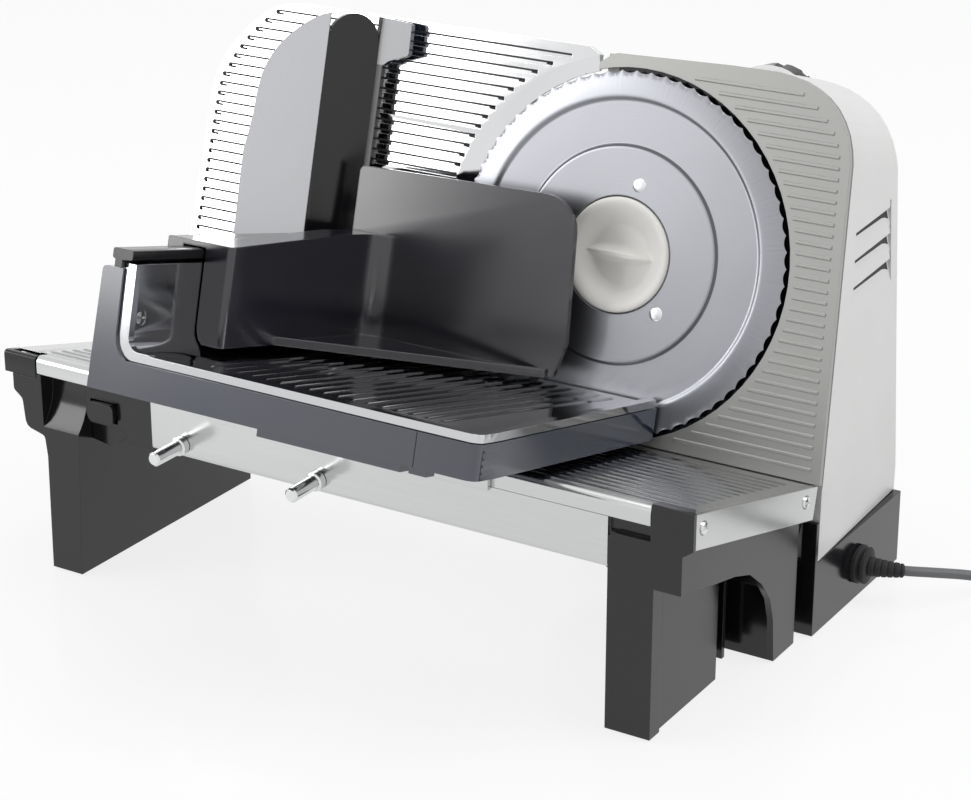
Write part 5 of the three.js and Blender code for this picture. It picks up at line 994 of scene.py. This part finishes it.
def paint_guard_shade(mesh):
    """Paints the guard's slanted wall and the strip below its tab in the plain black of the feet, as
    painted shade: they are one moulding with the rest of the guard.
    """
    tab_foot, wall_foot = 70.2, -60
    wall_left, wall_right, strip_left = -160, -141, -146
    mesh.materials.append(FINISHES["black"])
    work = bmesh.new()
    work.from_mesh(mesh)
    bmesh.ops.bisect_plane(
        work,
        geom=[*work.verts, *work.edges, *work.faces],
        plane_co=LEANING @ Vector((0, 0, tab_foot)),
        plane_no=LEANING.to_3x3() @ Vector((0, 0, 1)),
    )
    back = LEANING.inverted()
    for face in work.faces:
        middle = back @ face.calc_center_median()
        slanted = abs(face.normal.x) > 0.35 and wall_left < middle.x < wall_right
        below_tab = middle.x > strip_left and middle.z < tab_foot
        if middle.z > wall_foot and (slanted or below_tab):
            face.material_index = 1
    work.to_mesh(mesh)
    work.free()


class SLICER_OT_carriage(bpy.types.Operator):
    """Finishes the carriage, the thumb guard and the food holder"""

    bl_idname = "slicer.carriage"
    bl_label = "Carriage"

    def execute(self, context):
        front, rear, run_out = -166, -14.6, 2.2

        def low_ribs(x, y, z):
            """Pressed ribs are lower than the solid's, and run out at their ends."""
            if abs(z - TRAY_FLOOR - TRAY_RIB_SOLID) > RIB_MATCH:
                return x, y, z
            inward = run_out if y < front else -run_out if y > rear else 0
            return x, y + inward, TRAY_FLOOR + TRAY_RIB

        recast("tray_sheet", "carriage_tray", "tray", "carriage", low_ribs, 50)
        dress(["carriage_frame"], "charcoal")
        guard = recast("hand_shield", "thumb_guard", "charcoal", "carriage")
        # Painted shade: the guard's slanted wall and the strip below its tab turn black
        paint_guard_shade(guard.data)
        dress(["wall_rail"], "black")
        dress(["wall_screw"], "chrome")
        dress(["carriage_runner"], "sheet")
        dress(["slide_pad_front", "slide_pad_rear"], "nylon")
        dress(["food_holder", "holder_teeth"], "smoke")
        return {"FINISHED"}


def groove_lines():
    """Left end, right end and height of each groove of the stop plate, in the leaning frame."""
    # The plate's left edge, from its top corner down
    edge = [(-191.7, 94), (-203.8, 92.6), (-214.2, 89.3), (-222.8, 82.8), (-232.2, 73)]
    edge += [(-239.8, 62), (-244.2, 50), (-245.6, 36), (-246.7, 5), (-248.2, -24), (-250.6, -84.9)]
    found = []
    z = FIRST_GROOVE
    while z > LAST_GROOVE:
        for (x0, z0), (x1, z1) in zip(edge, edge[1:]):
            if z1 <= z <= z0:
                left = x0 + (x1 - x0) * (z - z0) / (z1 - z0)
        # The grooves start further in along the bent corner
        left += 4.6 if z > 54 else 3.3
        at_cut_out = abs(z) < CUT_OUT_RADIUS
        right = -math.sqrt(CUT_OUT_RADIUS**2 - z * z) if at_cut_out else PLATE_RIGHT
        found.append((left, right, z))
        z -= GROOVE_PITCH
    return found


def paste_bar(vertices, faces, middle, half):
    """Adds a flat bar of painted shade along a line of (x, z) points, half wide to each side."""
    sections = []
    for i, (x, z) in enumerate(middle):
        before, after = middle[max(0, i - 1)], middle[min(len(middle) - 1, i + 1)]
        along = Vector((after[0] - before[0], after[1] - before[1])).normalized()
        sections.append(
            [
                (x - side * half * along.y, y, z + side * half * along.x)
                for side in (-1, 1)
                for y in (GROOVE_SHADE_FRONT, GROOVE_SHADE_BACK)
            ]
        )
    add_bar(vertices, faces, sections)


def groove_paste():
    """Painted shade along the upper wall of each groove, round its left end and at its right end."""
    radius = GROOVE_WIDTH / 2 - GROOVE_SHADE_HALF
    bend_steps, hook_from, hook_length = 10, 20, 2.4
    vertices, faces = [], []
    for left, right, z in groove_lines():
        centre = left + GROOVE_WIDTH / 2
        line = [(right - 0.3, z + radius)]
        for i in range(bend_steps + 1):
            turn = math.radians(90 + 180 / bend_steps * i)
            line.append((centre + radius * math.cos(turn), z + radius * math.sin(turn)))
        if z > hook_from:
            line.append((centre + hook_length, z - radius))
        paste_bar(vertices, faces, line, GROOVE_SHADE_HALF)
        if right < -40:
            # The painted shade is widest in the sharp end at the blade's cut-out
            paste_bar(vertices, faces, [(right - 3.4, z + 0.35), (right - 0.1, z + 0.1)], 0.8)
    new_piece("groove_paste", vertices, faces, LEANING, "paste", "stop", angle=30)


class SLICER_OT_stop(bpy.types.Operator):
    """Finishes the stop plate and the carrier behind it, and paints shade along the plate's grooves"""

    bl_idname = "slicer.stop"
    bl_label = "Stop plate"

    def execute(self, context):
        dress(["stop_plate"], "mirror")
        groove_paste()
        dress(["stop_carrier"], "cast")
        dress(["guide_rod_lower", "guide_rod_upper"], "chrome")
        return {"FINISHED"}


class SLICER_OT_drive(bpy.types.Operator):
    """Finishes the gear, its bearing, the pinion, the motor and the dial's cam"""

    bl_idname = "slicer.drive"
    bl_label = "Drive"

    def execute(self, context):
        dress(["blade_gear", "dial_cam"], "nylon")
        dress(["blade_bearing"], "bronze")
        dress(["blade_axle"], "chrome")
        dress(["drive_pinion"], "cast")
        dress(["gear_motor"], "motor")
        return {"FINISHED"}


class SLICER_OT_blade(bpy.types.Operator):
    """Makes the blade, with the low ring round its hub, its ground bevel and its waved edge"""

    bl_idname = "slicer.blade"
    bl_label = "Blade"

    def execute(self, context):
        waves = sizes().blade_waves
        depth = sizes().wave_depth / MM
        front, back, low = BLADE_FRONT, BLADE_BACK, BLADE_FRONT + RING_DEPTH
        # Pairs of radius and y. The hub and the rim stand proud of the plain ring between them
        profile = [(BLADE_BORE, front + 0.25), (28.2, front), (28.8, front)]
        profile += [(49.7, front), (HUB_RADIUS, front), (50.8, front + 0.12)]
        profile += [(51.4, front + 0.6), (52.0, low), (52.6, low), (71.6, low), (72.2, low)]
        profile += [(72.9, front + 0.5), (73.6, front + 0.1), (74.3, front), (75.4, front + 0.03)]
        profile += [(79.4, front + 0.42), (82.6, front + 0.85), (84.4, front + 1.15)]
        profile += [(BLADE_TIP, front + 1.55), (84.2, front + 1.75), (80.8, front + 2.0)]
        profile += [(75.4, front + 1.7), (52.0, front + 1.8), (47.0, back), (BLADE_BORE, back)]

        def waved(angle, radius):
            """Round bites into the edge, with a point between each pair."""
            if radius < BLADE_TIP:
                return radius
            place = 2 * abs(waves * angle / (2 * math.pi) % 1 - 0.5)
            return radius - depth * (1 - place**2)

        vertices, faces = rings(profile, waves * 12, waved)
        new_piece(
            "blade_ground", vertices, faces, LEANING, "blade", "blade", ["blade"], 28
        )
        self.rivets()
        return {"FINISHED"}

    def rivets(self):
        """Three domed heads, set on the hub."""
        dome = [(0.01, -0.75), (1.4, -0.72), (2.4, -0.58), (3.1, -0.3), (3.4, 0.0), (3.4, 0.3)]
        vertices, faces = [], []
        for angle in map(math.radians, RIVET_ANGLES):
            x, z = RIVET_CIRCLE * math.cos(angle), RIVET_CIRCLE * math.sin(angle)
            points, quads = rings([*dome, (0.01, 0.3)], 28)
            first = len(vertices)
            vertices += [(px + x, py + BLADE_FRONT, pz + z) for px, py, pz in points]
            faces += [[first + corner for corner in quad] for quad in quads]
        heads = [f"blade_rivet_{i}" for i in (1, 2, 3)]
        new_piece(
            "rivet_heads", vertices, faces, LEANING, "rivet", "blade", heads, 50
        )


class SLICER_OT_lock_knob(bpy.types.Operator):
    """Makes the lock knob with its finger bar between two scoops"""

    bl_idname = "slicer.lock_knob"
    bl_label = "Lock knob"

    def execute(self, context):
        bar = sizes().finger_bar / MM / 2
        front, radius, scoop, edge = BLADE_FRONT - 1.3, 27.2, 25.5, 1.2
        bowl_depth, bar_reach, fillet = 6.0, 19.5, 1.6
        count, loops = 240, 60

        def face_height(x, z):
            """Two bowls inside the rim with the tapering finger bar between them."""
            r = math.hypot(x, z)
            bowl = bowl_depth * smooth_step((scoop - r) / 12.0)
            taper = max(0.0, 1 - (x / bar_reach) ** 2)
            crest = 0.9 + 5.2 * (1 - taper) ** 1.5
            flank = crest + 1.7 * max(0.0, abs(z) - bar * 0.5 * taper)
            # Smooth minimum, so that the bar grows out of the bowls in a fillet
            blend = max(0.0, fillet - abs(bowl - flank)) / fillet
            return min(bowl, flank) - blend * blend * 0.4 * min(1.0, bowl)

        vertices = [(0.0, front + face_height(0, 0), 0.0)]
        faces = [(0, 1 + i, 1 + (i + 1) % count) for i in range(count)]

        def add_ring(r, height):
            """Adds a ring of vertices, and its quads unless it is the innermost."""
            first = len(vertices)
            for i in range(count):
                a = 2 * math.pi * i / count
                x, z = r * math.cos(a), r * math.sin(a)
                vertices.append((x, height(x, z), z))
            if first > 1:
                join_rings(faces, first - count, first, count)

        for k in range(1, loops + 1):
            r = radius * (k / loops) ** 0.9
            over = max(0.0, r - radius + edge) / edge
            drop = edge * (1 - math.sqrt(max(0.0, 1 - over * over)))
            add_ring(r, lambda x, z: front + face_height(x, z) + drop)
        # The side, the shoulder behind the rim, the stub in the blade's bore and its end
        for r, y in ((radius, 3.2), (22.2, 3.25), (22.2, 10.5), (0.01, 10.5)):
            add_ring(r, lambda x, z: y)
        solid = ["lock_knob"]
        new_piece(
            "lock_knob_moulded", vertices, faces, LEANING, "cream", "knob", solid, 50
        )
        return {"FINISHED"}


# Half the floor's width in metres, its share of plain white, and the light from all round
FLOOR_HALF = 6
FLOOR_WHITE = 0.82
FILL_LIGHT = 0.42


def seen_by_eye_or_mirror(tree):
    """1 for what the camera sees straight, in a mirror or through glass, 0 for light on the object."""
    ray = add(tree, "ShaderNodeLightPath").outputs
    seen = worked_out(tree, "MAXIMUM", ray["Is Camera Ray"], ray["Is Transmission Ray"])
    return worked_out(tree, "MAXIMUM", seen, ray["Is Glossy Ray"])


class SLICER_OT_stage(bpy.types.Operator):
    """Sets the pale floor, the soft lamps, the white surround and the view transform"""

    bl_idname = "slicer.stage"
    bl_label = "Stage"

    def execute(self, context):
        scene = context.scene
        scene.view_settings.view_transform = "Standard"
        floor_mesh = bpy.data.meshes.new("floor")
        work = bmesh.new()
        bmesh.ops.create_grid(work, x_segments=2, y_segments=2, size=FLOOR_HALF)
        work.to_mesh(floor_mesh)
        work.free()
        floor = new_object("floor", floor_mesh)
        # Just below the feet, so that no two faces lie in one plane
        floor.location.z = -0.0002
        material, tree, shader = new_material("White lacquered board")
        grain = noise(tree, object_space(tree), 180, 2)
        white = tint(tree, grain, "#F4F4F4", "#F2F2F2")
        feed(tree, shader, {"Base Color": white, "Roughness": 0.16, "IOR": 1.45})
        # The backdrop's own white, for the eye and for what mirrors it; the shadow stays
        glow = add(tree, "ShaderNodeEmission", {"Color": (1, 1, 1, 1), "Strength": 1.0})
        share = worked_out(tree, "MULTIPLY", seen_by_eye_or_mirror(tree), FLOOR_WHITE)
        both = add(
            tree,
            "ShaderNodeMixShader",
            {0: share, 1: shader.outputs["BSDF"], 2: glow.outputs["Emission"]},
        )
        output = next(n for n in tree.nodes if n.type == "OUTPUT_MATERIAL")
        feed(tree, output, {"Surface": both.outputs["Shader"]})
        floor_mesh.materials.append(material)

        world = bpy.data.worlds.new("studio")
        scene.world = world
        world.use_nodes = True
        tree = world.node_tree
        tree.nodes.clear()
        light = add(tree, "ShaderNodeBackground", {"Color": (1, 1, 1, 1), "Strength": FILL_LIGHT})
        white = add(tree, "ShaderNodeBackground", {"Color": (1, 1, 1, 1), "Strength": 1.0})
        both = add(
            tree,
            "ShaderNodeMixShader",
            {0: seen_by_eye_or_mirror(tree), 1: light.outputs[0], 2: white.outputs[0]},
        )
        add(tree, "ShaderNodeOutputWorld", {"Surface": both.outputs[0]})

        # Name, place, aim and width, in metres
        lamps = [
            # Low to the left, so that the leaning front faces mirror it
            ("key_lamp", (-1.3, -1.15, 0.77), (0.0, 0.0, 0.25), 1.0),
            ("side_lamp", (1.6, 0.5, 1.2), (0.1, 0.0, 0.1), 1.0),
            ("top_lamp", (0.0, 0.2, 2.0), (0.0, 0.0, 0.1), 1.4),
        ]
        for name, place, aim, width in lamps:
            lamp = bpy.data.lights.new(name, "AREA")
            lamp.size = width
            lamp.energy = sizes().lamp_power
            holder = new_object(name, lamp)
            holder.location = place
            holder.rotation_mode = "QUATERNION"
            holder.rotation_quaternion = (Vector(aim) - Vector(place)).to_track_quat("-Z", "Y")
        return {"FINISHED"}


OPERATORS = (
    SLICER_OT_camera,
    SLICER_OT_mains_cord,
    SLICER_OT_cord_fittings,
    SLICER_OT_housing,
    SLICER_OT_dial_marks,
    SLICER_OT_base,
    SLICER_OT_carriage,
    SLICER_OT_stop,
    SLICER_OT_drive,
    SLICER_OT_blade,
    SLICER_OT_lock_knob,
    SLICER_OT_stage,
)


class SLICER_PT_panel(bpy.types.Panel):
    """Lists the machine's sizes, colours and pieces"""

    bl_idname = "SLICER_PT_panel"
    bl_label = "Meat Slicer"
    bl_space_type = "VIEW_3D"
    bl_region_type = "UI"
    bl_category = "Slicer"

    def draw(self, context):
        for group in (context.scene.slicer_sizes, context.scene.slicer_colours):
            box = self.layout.box()
            for key in group.bl_rna.properties.keys():
                if key not in {"rna_type", "name"}:
                    box.prop(group, key)
        for kind in OPERATORS:
            self.layout.operator(kind.bl_idname)


CLASSES = (SlicerColours, SlicerSizes, *OPERATORS, SLICER_PT_panel)


def register():
    for kind in CLASSES:
        bpy.utils.register_class(kind)
    bpy.types.Scene.slicer_colours = PointerProperty(type=SlicerColours)
    bpy.types.Scene.slicer_sizes = PointerProperty(type=SlicerSizes)


def unregister():
    del bpy.types.Scene.slicer_sizes
    del bpy.types.Scene.slicer_colours
    for kind in reversed(CLASSES):
        bpy.utils.unregister_class(kind)


def main():
    """Makes every piece."""
    register()
    make_finishes()
    for kind in OPERATORS:
        group, call = kind.bl_idname.split(".")
        getattr(getattr(bpy.ops, group), call)()


if __name__ == "__main__":
    main()
